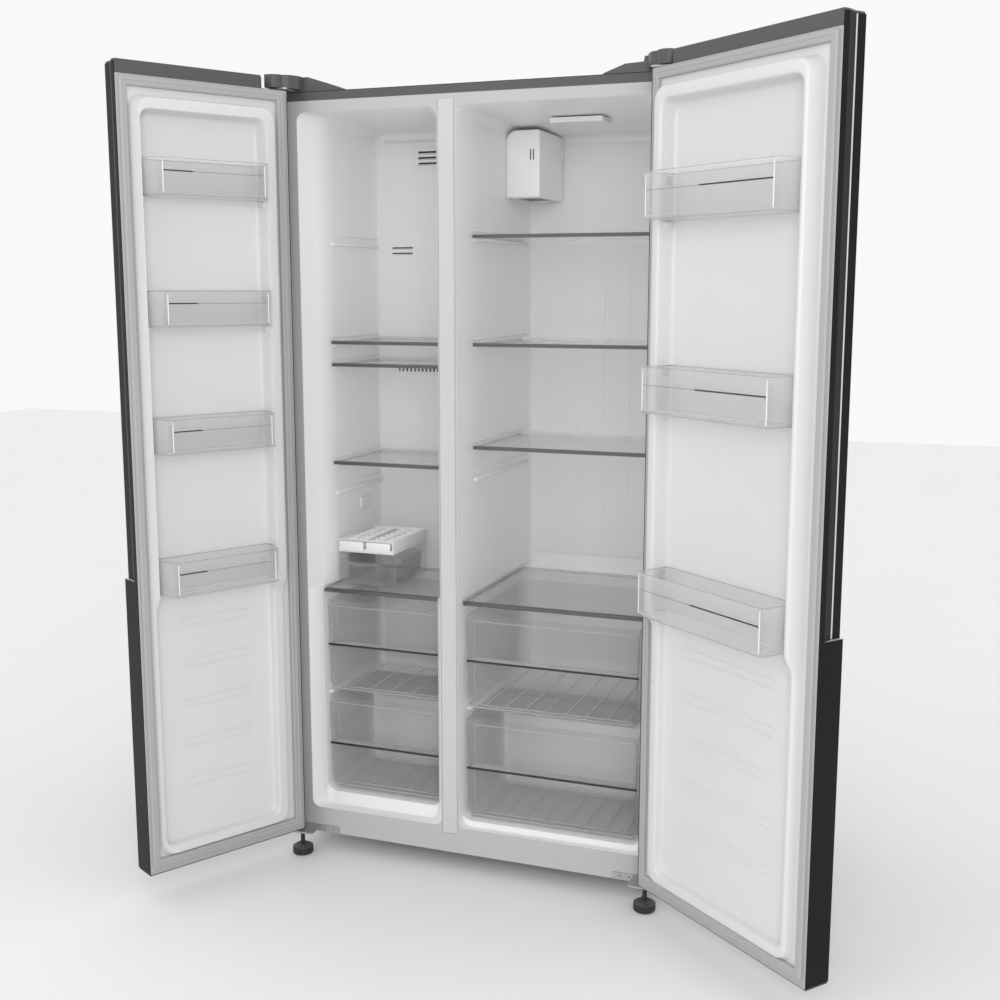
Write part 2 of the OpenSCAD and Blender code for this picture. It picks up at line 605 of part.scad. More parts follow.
module door_liner(w, bins, h) {
    u = rim_u(w);
    block([sheet, -door_gap - 2, door_z[0] + 3], [w - sheet, -door_gap, body_h - 4]);
    intersection() {
        along_y(-door_gap - 1, rim_h) difference() {
            rounded([u[0], rim_z[0]], [u[3], rim_z[1]], 26);
            rounded([u[1], rim_z[0] + 26], [u[2], rim_z[1] - 30], 18);
        }
        along_x(0, w) polygon([[-door_gap - 1, rim_z[0]], [rim_low, rim_z[0] + rim_slope / 2],
            [rim_low, rim_step[0]], [rim_h, rim_step[1]], [rim_h, rim_z[1] - rim_slope],
            [-door_gap - 1, rim_z[1]]]);
        translate([0, 0, rim_z[0] - 1]) linear_extrude(body_h) polygon([[u[0], -door_gap - 1],
            [u[0] + rim_slope, rim_h], [u[3] - rim_slope, rim_h], [u[3], -door_gap - 1]]);
    }
    // five pairs of ribs low down
    for (i = [0:4], k = [0, 1])
        block([u[1] + 60, -door_gap - 1, 248 + i * 89 + k * 18], [u[2] - 60, -door_gap + 1.5,
            251 + i * 89 + k * 18]);
    // lugs that the bins stand on
    for (z = bins, e = [u[1] - 1, u[2] - 6]) block([e, -door_gap - 1, z - 12], [e + 7, 22, z - gap]);
}

module gasket(w) along_y(-door_gap, -gap) difference() {
    rounded([10.5, gasket_z[0]], [w - 6, gasket_z[1]], 6);
    rounded([10.5 + gasket_w, gasket_z[0] + gasket_w], [w - 6 - gasket_w + 3, gasket_z[1] - gasket_w], 4);
}

// bins: wider at the back than at the front, with a rail across the front
module bin(w, out, taper, h) {
    u = rim_u(w);
    wall = 2.5;
    back = -door_gap + gap + 1.7;
    difference() {
        linear_extrude(h) bin_plan(u[1] + 1.5, u[2] - 1.5, back, out, taper, 0);
        translate([0, 0, wall]) linear_extrude(h) bin_plan(u[1] + 1.5, u[2] - 1.5, back, out, taper, wall);
    }
    block([u[1] + 2 + taper, out - 1, h * 0.62], [u[2] - 2 - taper, out, h * 0.62 + 3]);
}
module bin_plan(u0, u1, back, out, taper, inset)
    polygon([[u0 + inset, back + inset], [u0 + inset, 24], [u0 + taper + inset, out - inset],
        [u1 - taper - inset, out - inset], [u1 - inset, 24], [u1 - inset, back + inset]]);

module left_bin(i) color([0.86, 0.88, 0.89]) on_door(-1) translate([0, 0, left_bin_z[i]])
    bin(left_w, left_bin_out, 14, left_bin_h);
module right_bin(i) color([0.86, 0.88, 0.89]) on_door(1) translate([0, 0, right_bin_z[i]])
    bin(right_w, right_bin_out, 1.5, right_bin_h);

cabinet_shell();
front_frame();
top_band();
mullion_cover();
insulation();
freezer_liner();
fridge_liner();
back_panel();
base_pan();
machine_cover();
compressor();
compressor_mounts();
condenser();
fan_motors();
condenser_fan();
evaporator();
evaporator_fan();
cord_gland();
freezer_duct_cover();
fridge_back_cover();
damper_housing();
lamp_covers();
hinges();
hinge_covers();
cover_shelves();
ice_frame();
ice_tray(0);  // ice_tray_left
ice_tray(1);  // ice_tray_right
ice_box();
freezer_shelf(0);  // freezer_shelf_top
freezer_shelf(1);  // freezer_shelf_middle
freezer_shelf(2);  // freezer_shelf_bottom
fridge_shelf(0);  // fridge_shelf_top
fridge_shelf(1);  // fridge_shelf_middle
fridge_shelf(2);  // fridge_shelf_bottom
freezer_drawer(upper_drawer_z, freezer_d - 14, upper_bar_z);  // freezer_drawer_upper
freezer_drawer(lower_drawer_z, lower_back - 8, lower_bar_z[0]);  // freezer_drawer_lower
fridge_drawer(upper_drawer_z, fridge_d - 55, upper_bar_z);  // fridge_drawer_upper
fridge_drawer(fridge_low_z, lower_back - 8, lower_bar_z[1]);  // fridge_drawer_lower
color([0.08, 0.08, 0.09]) on_door(-1) door_skin(left_w);  // left_door_skin
color([0.93, 0.9, 0.72]) on_door(-1) door_foam(left_w);  // left_door_foam
color([0.9, 0.9, 0.91]) on_door(-1)  // left_door_liner
    door_liner(left_w, left_bin_z, left_bin_h);
color([0.6, 0.6, 0.61]) on_door(-1) gasket(left_w);  // left_gasket
color([0.2, 0.2, 0.21]) on_door(-1) door_caps(left_w);  // left_door_caps
color([0.08, 0.08, 0.09]) on_door(1) door_skin(right_w);  // right_door_skin
color([0.93, 0.9, 0.72]) on_door(1) door_foam(right_w);  // right_door_foam
color([0.9, 0.9, 0.91]) on_door(1)  // right_door_liner
    door_liner(right_w, right_bin_z, right_bin_h);
color([0.6, 0.6, 0.61]) on_door(1) gasket(right_w);  // right_gasket
color([0.2, 0.2, 0.21]) on_door(1) door_caps(right_w);  // right_door_caps
left_bin(0);  // left_bin_1
left_bin(1);  // left_bin_2
left_bin(2);  // left_bin_3
left_bin(3);  // left_bin_4
right_bin(0);  // right_bin_1
right_bin(1);  // right_bin_2
right_bin(2);  // right_bin_3
foot(-1);  // left_foot
foot(1);  // right_foot
rear_rollers();
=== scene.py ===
import json
import math

import bmesh
import bpy
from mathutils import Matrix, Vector


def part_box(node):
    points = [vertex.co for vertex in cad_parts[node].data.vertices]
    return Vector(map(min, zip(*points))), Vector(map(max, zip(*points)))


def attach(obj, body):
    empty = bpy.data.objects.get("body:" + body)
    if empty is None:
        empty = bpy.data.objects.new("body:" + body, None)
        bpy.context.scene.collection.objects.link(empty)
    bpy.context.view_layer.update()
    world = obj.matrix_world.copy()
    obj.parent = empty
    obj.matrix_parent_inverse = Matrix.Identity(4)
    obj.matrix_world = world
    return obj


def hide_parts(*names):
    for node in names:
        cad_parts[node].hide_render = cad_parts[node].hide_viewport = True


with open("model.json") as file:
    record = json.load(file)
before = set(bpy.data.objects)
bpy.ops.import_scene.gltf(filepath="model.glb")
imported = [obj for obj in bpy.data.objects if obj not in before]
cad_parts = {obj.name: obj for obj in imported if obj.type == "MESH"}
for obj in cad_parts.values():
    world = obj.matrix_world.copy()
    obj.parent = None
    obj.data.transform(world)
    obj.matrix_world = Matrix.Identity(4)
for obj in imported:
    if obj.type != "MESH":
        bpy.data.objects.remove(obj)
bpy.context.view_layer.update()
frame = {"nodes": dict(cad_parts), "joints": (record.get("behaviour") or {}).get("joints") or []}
nodes = frame["nodes"]
print("frame loaded:", len(nodes), "CAD nodes")

# The cabinet's own measures: x from its middle, y behind its face, z from the floor, all in millimetres
shellLow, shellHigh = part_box("cabinet_shell")
midX = (shellLow.x + shellHigh.x) / 2
faceY = shellLow.y
mm = 0.001

# walls of both rooms at the face, above the ledge (Up) and under it (Low)
cabinet = {
    "halfWidth": 447.5, "depth": 550, "openBottom": 103, "openTop": 1702, "lowerBack": 295, "lowerTop": 340,
    "freezerFace": (-406.5, -73), "freezerUp": (-376.5, -103), "freezerLow": (-386.5, -94),
    "fridgeFace": (-31, 406.5), "fridgeUp": (-26, 376.5), "fridgeLow": (-30.5, 386.5),
    "freezerBack": 345, "fridgeBack": 478,
}
door = {"hingeIn": 11.5, "hingeOut": 42, "leftWidth": 392.5, "rightWidth": 498.5}


def openAngle(jointName):
    for joint in frame["joints"]:
        if joint["name"] == jointName:
            return math.radians(-joint["range_deg"][0])


leftAngle = openAngle("left_door_swing")
rightAngle = openAngle("right_door_swing")


def atFace(x, y, z):
    return (midX + x * mm, faceY + y * mm, z * mm)


# u runs from a door's hinged edge, v is the depth as if it were shut
def doorPlace(side, angle):
    pinX = cabinet["halfWidth"] - door["hingeIn"]

    def place(u, v, z):
        du, dv = u - door["hingeIn"], v + door["hingeOut"]
        x = side * (pinX - du * math.cos(angle) - dv * math.sin(angle))
        y = -door["hingeOut"] - du * math.sin(angle) + dv * math.cos(angle)
        return atFace(x, y, z)
    return place


doors = {
    "left": {"place": doorPlace(-1, leftAngle), "width": door["leftWidth"], "rimHinge": (46, 76),
             "rimFree": (door["leftWidth"] - 34, door["leftWidth"] - 25)},
    "right": {"place": doorPlace(1, rightAngle), "width": door["rightWidth"], "rimHinge": (46, 76),
              "rimFree": (door["rightWidth"] - 51, door["rightWidth"] - 33)},
}


# a shape is lists of points, faces and slots until finishPiece makes it a mesh
def newShape():
    return {"points": [], "faces": [], "slots": []}


def addMesh(shape, points, faces, slot=0):
    start = len(shape["points"])
    shape["points"] += [tuple(p) for p in points]
    shape["faces"] += [[i + start for i in face] for face in faces]
    shape["slots"] += [slot] * len(faces)


def addLoops(shape, loops, slot=0, capStart=True, capEnd=True, joined=False):
    n = len(loops[0])
    points = [p for loop in loops for p in loop]
    last = len(loops) if joined else len(loops) - 1
    faces = []
    for k in range(last):
        a, b = k * n, ((k + 1) % len(loops)) * n
        faces += [[a + i, a + (i + 1) % n, b + (i + 1) % n, b + i] for i in range(n)]
    if not joined and capStart:
        faces.append(list(range(n))[::-1])
    if not joined and capEnd:
        faces.append([(len(loops) - 1) * n + i for i in range(n)])
    addMesh(shape, points, faces, slot)


# corners of a rounded rectangle, one radius for each corner or one for all
def roundedLoop(a0, b0, a1, b1, radius, steps=4):
    if isinstance(radius, (int, float)):
        radius = (radius,) * 4
    limit = min(a1 - a0, b1 - b0) / 2 - 0.01
    corners = ((a1, b0, -90, -1, 1), (a1, b1, 0, -1, -1), (a0, b1, 90, 1, -1), (a0, b0, 180, 1, 1))
    loop = []
    for (a, b, begin, sa, sb), r in zip(corners, radius):
        r = max(0.01, min(r, limit))
        for i in range(steps + 1):
            angle = math.radians(begin + 90 * i / steps)
            loop.append((a + sa * r + r * math.cos(angle), b + sb * r + r * math.sin(angle)))
    return loop


# a block with softened edges, its loops stacked along one axis
def addBlock(shape, low, high, edge=0.5, corner=None, slot=0, axis=2, steps=2):
    corner = edge if corner is None else corner
    i, j = [(1, 2), (0, 2), (0, 1)][axis]
    size = high[axis] - low[axis]
    edge = min(edge, size * 0.45)
    loops = []
    for t, inset in ((0, edge), (edge * 0.3, edge * 0.3), (edge, 0), (size - edge, 0),
                     (size - edge * 0.3, edge * 0.3), (size, edge)):
        ring = roundedLoop(low[i] + inset, low[j] + inset, high[i] - inset, high[j] - inset,
                           max(0.05, corner - inset), steps)
        loop = []
        for a, b in ring:
            p = [0, 0, 0]
            p[i], p[j], p[axis] = a, b, low[axis] + t
            loop.append(tuple(p))
        loops.append(loop)
    addLoops(shape, loops, slot)


# a round bar between two points, with chamfered ends
def addRod(shape, start, end, radius, sides=24, slot=0, edge=0.4):
    start, end = Vector(start), Vector(end)
    along = (end - start).normalized()
    side = along.orthogonal().normalized()
    up = along.cross(side)
    length = (end - start).length
    edge = min(edge, radius * 0.5, length * 0.3)
    loops = []
    for t, r in ((0, radius - edge), (edge, radius), (length - edge, radius), (length, radius - edge)):
        loops.append([tuple(start + along * t + (side * math.cos(2 * math.pi * k / sides)
                      + up * math.sin(2 * math.pi * k / sides)) * r) for k in range(sides)])
    addLoops(shape, loops, slot)


# an outline in two axes carried along the third, with plain ends
def addPrism(shape, outline, axis, low, high, slot=0):
    i, j = [(1, 2), (0, 2), (0, 1)][axis]
    loops = []
    for t in (low, high):
        loop = []
        for a, b in outline:
            p = [0, 0, 0]
            p[i], p[j], p[axis] = a, b, t
            loop.append(tuple(p))
        loops.append(loop)
    addLoops(shape, loops, slot)


def finishPiece(name, shape, materials, body, place=atFace, replaces=(), sharp=32):
    mesh = bpy.data.meshes.new(name)
    mesh.from_pydata([place(*p) for p in shape["points"]], [], shape["faces"])
    for material in materials:
        mesh.materials.append(material)
    for polygon, index in zip(mesh.polygons, shape["slots"]):
        polygon.material_index = index
    work = bmesh.new()
    work.from_mesh(mesh)
    bmesh.ops.recalc_face_normals(work, faces=work.faces)
    work.to_mesh(mesh)
    work.free()
    mesh.shade_smooth()
    mesh.set_sharp_from_angle(angle=math.radians(sharp))
    piece = bpy.data.objects.new(name, mesh)
    bpy.context.scene.collection.objects.link(piece)
    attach(piece, body)
    if replaces:
        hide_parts(*replaces)
    return piece


def soften(piece, width, segments=2):
    modifier = piece.modifiers.new("Bevel", "BEVEL")
    modifier.width = width * mm
    modifier.segments = segments
    modifier.limit_method = "ANGLE"
    modifier.angle_limit = math.radians(32)
    modifier.harden_normals = True


def newGroup(name, inputs, outputs):
    group = bpy.data.node_groups.new(name, "ShaderNodeTree")
    for label, kind, value in inputs:
        socket = group.interface.new_socket(label, in_out="INPUT", socket_type=kind)
        socket.default_value = value
    for label, kind in outputs:
        group.interface.new_socket(label, in_out="OUTPUT", socket_type=kind)
    return group, group.nodes.new("NodeGroupInput"), group.nodes.new("NodeGroupOutput")


def connect(tree, *pairs):
    for source, target in pairs:
        tree.links.new(source, target)


def mathNode(tree, operation, *values, clamp=False):
    node = tree.nodes.new("ShaderNodeMath")
    node.operation = operation
    node.use_clamp = clamp
    for socket, value in zip(node.inputs, values):
        socket.default_value = value
    return node


def tintNode(tree, blend="MIX", share=0.5):
    node = tree.nodes.new("ShaderNodeMix")
    node.data_type = "RGBA"
    node.blend_type = blend
    node.inputs[0].default_value = share
    return node


def noiseNode(tree, scale=5.0, detail=2.0):
    node = tree.nodes.new("ShaderNodeTexNoise")
    node.inputs["Scale"].default_value = scale
    node.inputs["Detail"].default_value = detail
    return node


def rangeNode(tree, low, high):
    node = tree.nodes.new("ShaderNodeMapRange")
    node.inputs["From Min"].default_value = low
    node.inputs["From Max"].default_value = high
    return node


# faint flow marks and a pebbled skin for moulded plastic and paint
def makeMoulded():
    group, gin, gout = newGroup("mouldedSkin", [
        ("Color", "NodeSocketColor", (0.8, 0.8, 0.8, 1)), ("Roughness", "NodeSocketFloat", 0.4),
        ("Skin Size", "NodeSocketFloat", 900.0), ("Shade Spread", "NodeSocketFloat", 0.04),
        ("Roughness Spread", "NodeSocketFloat", 0.1)],
        [("Color", "NodeSocketColor"), ("Roughness", "NodeSocketFloat"), ("Height", "NodeSocketFloat")])
    place = group.nodes.new("ShaderNodeTexCoord").outputs["Object"]
    broad = noiseNode(group, 2.3, 3)
    fine = noiseNode(group, detail=2)
    flow = noiseNode(group, 14, 4)
    shade = rangeNode(group, 0.3, 0.7)
    darkest = mathNode(group, "SUBTRACT", 1)
    tint = tintNode(group, "MULTIPLY", 1)
    centred = mathNode(group, "SUBTRACT", 0, 0.5)
    rough = mathNode(group, "MULTIPLY_ADD")
    connect(group, (place, broad.inputs["Vector"]), (place, fine.inputs["Vector"]),
            (place, flow.inputs["Vector"]), (gin.outputs["Skin Size"], fine.inputs["Scale"]),
            (broad.outputs["Fac"], shade.inputs["Value"]), (gin.outputs["Shade Spread"], darkest.inputs[1]),
            (darkest.outputs[0], shade.inputs["To Min"]), (gin.outputs["Color"], tint.inputs[6]),
            (shade.outputs["Result"], tint.inputs[7]), (tint.outputs[2], gout.inputs["Color"]),
            (flow.outputs["Fac"], centred.inputs[0]), (centred.outputs[0], rough.inputs[0]),
            (gin.outputs["Roughness Spread"], rough.inputs[1]), (gin.outputs["Roughness"], rough.inputs[2]),
            (rough.outputs[0], gout.inputs["Roughness"]), (fine.outputs["Fac"], gout.inputs["Height"]))
    return group


# streaks along one axis, for brushed or drawn steel
def makeBrushed():
    group, gin, gout = newGroup("brushedStreaks", [
        ("Color", "NodeSocketColor", (0.05, 0.05, 0.05, 1)),
        ("Streak Color", "NodeSocketColor", (0.1, 0.1, 0.1, 1)), ("Roughness", "NodeSocketFloat", 0.35),
        ("Across", "NodeSocketFloat", 900.0), ("Along", "NodeSocketFloat", 3.0)],
        [("Color", "NodeSocketColor"), ("Roughness", "NodeSocketFloat"), ("Height", "NodeSocketFloat")])
    place = group.nodes.new("ShaderNodeTexCoord").outputs["Object"]
    scale = group.nodes.new("ShaderNodeCombineXYZ")
    stretch = group.nodes.new("ShaderNodeVectorMath")
    stretch.operation = "MULTIPLY"
    streak = noiseNode(group, 1, 3)
    broad = noiseNode(group, 5)
    blend = mathNode(group, "MULTIPLY")
    tint = tintNode(group)
    rough = mathNode(group, "MULTIPLY_ADD", 0, 0.18)
    connect(group, (gin.outputs["Across"], scale.inputs["X"]), (gin.outputs["Across"], scale.inputs["Y"]),
            (gin.outputs["Along"], scale.inputs["Z"]), (place, stretch.inputs[0]),
            (scale.outputs[0], stretch.inputs[1]), (stretch.outputs[0], streak.inputs["Vector"]),
            (place, broad.inputs["Vector"]), (streak.outputs["Fac"], blend.inputs[0]),
            (broad.outputs["Fac"], blend.inputs[1]), (blend.outputs[0], tint.inputs[0]),
            (gin.outputs["Color"], tint.inputs[6]), (gin.outputs["Streak Color"], tint.inputs[7]),
            (tint.outputs[2], gout.inputs["Color"]), (streak.outputs["Fac"], rough.inputs[0]),
            (gin.outputs["Roughness"], rough.inputs[2]), (rough.outputs[0], gout.inputs["Roughness"]),
            (streak.outputs["Fac"], gout.inputs["Height"]))
    return group


# dust that settles on upward faces
def makeDust():
    group, gin, gout = newGroup("settledDust", [
        ("Color", "NodeSocketColor", (0.5, 0.5, 0.5, 1)), ("Roughness", "NodeSocketFloat", 0.4),
        ("Dust Color", "NodeSocketColor", (0.5, 0.5, 0.49, 1)), ("Amount", "NodeSocketFloat", 0.1)],
        [("Color", "NodeSocketColor"), ("Roughness", "NodeSocketFloat")])
    place = group.nodes.new("ShaderNodeTexCoord").outputs["Object"]
    facing = group.nodes.new("ShaderNodeNewGeometry")
    split = group.nodes.new("ShaderNodeSeparateXYZ")
    speck = noiseNode(group, 60, 6)
    level = rangeNode(group, 0.3, 1)
    patch = mathNode(group, "MULTIPLY")
    amount = mathNode(group, "MULTIPLY", clamp=True)
    tint = tintNode(group)
    rough = mathNode(group, "MULTIPLY_ADD", 0, 0.3)
    connect(group, (place, speck.inputs["Vector"]), (facing.outputs["Normal"], split.inputs[0]),
            (split.outputs["Z"], level.inputs["Value"]), (level.outputs["Result"], patch.inputs[0]),
            (speck.outputs["Fac"], patch.inputs[1]), (patch.outputs[0], amount.inputs[0]),
            (gin.outputs["Amount"], amount.inputs[1]), (amount.outputs[0], tint.inputs[0]),
            (gin.outputs["Color"], tint.inputs[6]), (gin.outputs["Dust Color"], tint.inputs[7]),
            (tint.outputs[2], gout.inputs["Color"]), (amount.outputs[0], rough.inputs[0]),
            (gin.outputs["Roughness"], rough.inputs[2]), (rough.outputs[0], gout.inputs["Roughness"]))
    return group


mouldedSkin, brushedStreaks, settledDust = makeMoulded(), makeBrushed(), makeDust()


def useGroup(tree, group, **values):
    node = tree.nodes.new("ShaderNodeGroup")
    node.node_tree = group
    for label, value in values.items():
        node.inputs[label.replace("_", " ")].default_value = value
    return node


def startMaterial(name):
    material = bpy.data.materials.new(name)
    material.use_nodes = True
    return material, material.node_tree, material.node_tree.nodes["Principled BSDF"]


def gray(value, alpha=1.0):
    return (value, value, value, alpha)


def addBump(tree, shader, height, strength, distance):
    bump = tree.nodes.new("ShaderNodeBump")
    bump.inputs["Strength"].default_value = strength
    bump.inputs["Distance"].default_value = distance
    connect(tree, (height, bump.inputs["Height"]), (bump.outputs["Normal"], shader.inputs["Normal"]))


def plastic(name, color, roughness, skin, bump, spread, dust=0.0, specular=0.5):
    material, tree, shader = startMaterial(name)
    skinNode = useGroup(tree, mouldedSkin, Color=color, Roughness=roughness, Skin_Size=skin,
                        Shade_Spread=spread, Roughness_Spread=0.12)
    shader.inputs["Specular IOR Level"].default_value = specular
    if dust:
        dustNode = useGroup(tree, settledDust, Dust_Color=gray(0.45), Amount=dust)
        connect(tree, (skinNode.outputs["Color"], dustNode.inputs["Color"]),
                (skinNode.outputs["Roughness"], dustNode.inputs["Roughness"]),
                (dustNode.outputs["Color"], shader.inputs["Base Color"]),
                (dustNode.outputs["Roughness"], shader.inputs["Roughness"]))
    else:
        connect(tree, (skinNode.outputs["Color"], shader.inputs["Base Color"]),
                (skinNode.outputs["Roughness"], shader.inputs["Roughness"]))
    addBump(tree, shader, skinNode.outputs["Height"], bump, 0.0002)
    return material


def steel(name, color, streak, roughness, metallic, across, along, bump, specular=0.5):
    material, tree, shader = startMaterial(name)
    node = useGroup(tree, brushedStreaks, Color=color, Streak_Color=streak, Roughness=roughness,
                    Across=across, Along=along)
    shader.inputs["Metallic"].default_value = metallic
    shader.inputs["Specular IOR Level"].default_value = specular
    connect(tree, (node.outputs["Color"], shader.inputs["Base Color"]),
            (node.outputs["Roughness"], shader.inputs["Roughness"]))
    addBump(tree, shader, node.outputs["Height"], bump, 0.0001)
    return material


# clear plastic or glass seen as a thin sheet: it shows mostly at its edges and where it turns away
def clearSheet(name, color, least, most, roughness=0.06):
    material, tree, shader = startMaterial(name)
    skinNode = useGroup(tree, mouldedSkin, Color=color, Roughness=roughness, Skin_Size=120.0,
                        Shade_Spread=0.05, Roughness_Spread=0.06)
    shader.inputs["IOR"].default_value = 1.5
    weight = tree.nodes.new("ShaderNodeLayerWeight")
    weight.inputs["Blend"].default_value = 0.35
    cover = tree.nodes.new("ShaderNodeMapRange")
    cover.inputs["To Min"].default_value = least
    cover.inputs["To Max"].default_value = most
    connect(tree, (skinNode.outputs["Color"], shader.inputs["Base Color"]),
            (skinNode.outputs["Roughness"], shader.inputs["Roughness"]),
            (weight.outputs["Facing"], cover.inputs["Value"]),
            (cover.outputs["Result"], shader.inputs["Alpha"]))
    addBump(tree, shader, skinNode.outputs["Height"], 0.06, 0.0004)
    return material


# skin, across and along count marks in a metre; spread is how far the shade wanders; least and most are
# how solid a clear sheet looks face on and edge on
look = {
    # one white plastic in two greys, lighter in the rooms and darker on the doors: painted light and shade
    # for how much light reaches each
    "liner": plastic("linerPlastic", gray(0.88), roughness=0.34, skin=700.0, bump=0.05, spread=0.03),
    "doorLiner": plastic("doorLinerPlastic", gray(0.70), roughness=0.3, skin=700.0, bump=0.05, spread=0.02),
    "face": plastic("faceEnamel", gray(0.50), roughness=0.35, skin=1400.0, bump=0.06, spread=0.02,
                    dust=0.05),
    "mullion": plastic("mullionEnamel", gray(0.58), roughness=0.33, skin=1400.0, bump=0.05, spread=0.02),
    "band": plastic("bandPlastic", gray(0.085), roughness=0.42, skin=1200.0, bump=0.1, spread=0.05,
                    dust=0.1),
    "cap": plastic("capPlastic", gray(0.085), roughness=0.45, skin=1200.0, bump=0.12, spread=0.05,
                   dust=0.12),
    "gasket": plastic("gasketVinyl", gray(0.42), roughness=0.55, skin=1600.0, bump=0.08, spread=0.04,
                      dust=0.05, specular=0.35),
    "doorSteel": steel("doorSteel", gray(0.004), streak=gray(0.02), roughness=0.3, metallic=0.0,
                       across=1200.0, along=2.0, bump=0.2, specular=0.12),
    "sideSteel": steel("sideEnamel", gray(0.012), streak=gray(0.022), roughness=0.4, metallic=0.0,
                       across=300.0, along=40.0, bump=0.1, specular=0.3),
    "trim": plastic("trimPlastic", gray(0.10), roughness=0.3, skin=1000.0, bump=0.06, spread=0.04),
    "handle": plastic("handlePlastic", gray(0.02), roughness=0.25, skin=1000.0, bump=0.06, spread=0.04),
    "duct": plastic("ductPlastic", gray(0.80), roughness=0.36, skin=700.0, bump=0.06, spread=0.03),
    "housing": plastic("housingPlastic", gray(0.9), roughness=0.26, skin=700.0, bump=0.05, spread=0.02),
    "dark": plastic("shadowPlastic", gray(0.015), roughness=0.6, skin=800.0, bump=0.1, spread=0.1),
    "seam": plastic("seamLine", gray(0.22), roughness=0.6, skin=800.0, bump=0.1, spread=0.1),
    "white": plastic("whitePlastic", gray(0.88), roughness=0.3, skin=900.0, bump=0.05, spread=0.02),
    "rubber": plastic("footRubber", gray(0.02), roughness=0.6, skin=900.0, bump=0.3, spread=0.1, dust=0.3),
    "zinc": steel("zincPlate", gray(0.45), streak=gray(0.6), roughness=0.3, metallic=0.9, across=500.0,
                  along=90.0, bump=0.15),
    "lamp": plastic("lampCover", gray(0.8), roughness=0.2, skin=500.0, bump=0.05, spread=0.01),
    "flange": plastic("flangePlastic", gray(0.42), roughness=0.5, skin=900.0, bump=0.08, spread=0.03),
    # light grey strips along the black door's grip: painted highlight
    "gripEdge": plastic("gripPaintedHighlight", gray(0.62), roughness=0.25, skin=900.0, bump=0.05, spread=0.05),
    # grey lines on the clear bins and drawers: painted shade along their edges and corners
    "line": clearSheet("paintedShadeLine", gray(0.4), least=0.3, most=0.6, roughness=0.1),
    "foam": plastic("foamFill", (0.85, 0.78, 0.55, 1), roughness=0.8, skin=300.0, bump=0.5, spread=0.1),
    "coil": steel("coilMetal", gray(0.55), streak=gray(0.75), roughness=0.3, metallic=0.9, across=60.0,
                  along=900.0, bump=0.2),
    "pot": plastic("potEnamel", gray(0.03), roughness=0.3, skin=400.0, bump=0.15, spread=0.05, dust=0.2),
    "backSteel": steel("backSteel", gray(0.5), streak=gray(0.62), roughness=0.35, metallic=0.8,
                       across=200.0, along=60.0, bump=0.2),
    "clear": clearSheet("clearPlastic", gray(0.74), least=0.06, most=0.6),
    "clearEdge": clearSheet("clearPlasticEdge", gray(0.86), least=0.28, most=0.8, roughness=0.04),
    "drawer": clearSheet("drawerPlastic", gray(0.86), least=0.03, most=0.36),
    "glass": clearSheet("shelfGlass", gray(0.72), least=0.07, most=0.26, roughness=0.02),
}
print("materials made:", len(look))

# CAD nodes that keep their own shape
keptLooks = {
    "cabinet_shell": "sideSteel", "front_frame": "face", "top_band": "band", "mullion_cover": "mullion",
    "insulation": "foam", "back_panel": "backSteel", "base_pan": "zinc", "machine_cover": "dark",
    "compressor": "pot", "compressor_mounts": "rubber", "condenser": "pot", "fan_motors": "trim",
    "condenser_fan": "trim", "evaporator_fan": "white", "evaporator": "coil", "cord_gland": "handle",
    "hinges": "zinc", "rear_rollers": "rubber", "left_foot": "rubber", "right_foot": "rubber",
    "freezer_duct_cover": "duct", "fridge_back_cover": "duct",
    "lamp_covers": "lamp", "hinge_covers": "cap", "left_door_caps": "cap", "right_door_caps": "cap",
    "left_door_skin": "doorSteel", "right_door_skin": "doorSteel", "left_door_foam": "foam",
    "right_door_foam": "foam",
}
softEdges = {"cabinet_shell": 0.8, "hinge_covers": 2.5, "left_door_skin": 0.8,
             "right_door_skin": 0.8, "left_door_caps": 1.2, "right_door_caps": 1.2, "lamp_covers": 2.0,
             "top_band": 0.4, "front_frame": 0.4, "mullion_cover": 0.4}
for name, node in nodes.items():
    if name in keptLooks:
        node.data.materials.clear()
        node.data.materials.append(look[keptLooks[name]])
        if name in softEdges:
            merge = node.modifiers.new("Merge", "DECIMATE")
            merge.decimate_type = "DISSOLVE"
            merge.angle_limit = math.radians(1)
            soften(node, softEdges[name])
print("CAD nodes dressed:", len(keptLooks))


def ease(t):
    t = max(0.0, min(1.0, t))
    return t * t * (3 - 2 * t)


def bevelled(t):
    # a straight splay with eased ends
    t = max(0.0, min(1.0, t))
    return 0.75 * t + 0.25 * ease(t)


liners = {
    "freezer": {"face": cabinet["freezerFace"], "up": cabinet["freezerUp"], "low": cabinet["freezerLow"],
                "back": cabinet["freezerBack"], "floor": 131, "riser": 44, "drop": 10, "bevelLow": 30},
    "fridge": {"face": cabinet["fridgeFace"], "up": cabinet["fridgeUp"], "low": cabinet["fridgeLow"],
               "back": cabinet["fridgeBack"], "floor": 115, "riser": 26, "drop": 20, "bevelLow": 28},
}
# the step in the walls over the drawers, and heights where a wall may bend
ledge = {"bottom": 627, "high": 11}
sideSamples = [470, 560, 600, 618, 624, 628, 631, 633, 635, 638, 642, 650, 700, 820, 980, 1140, 1300, 1460,
               1600]


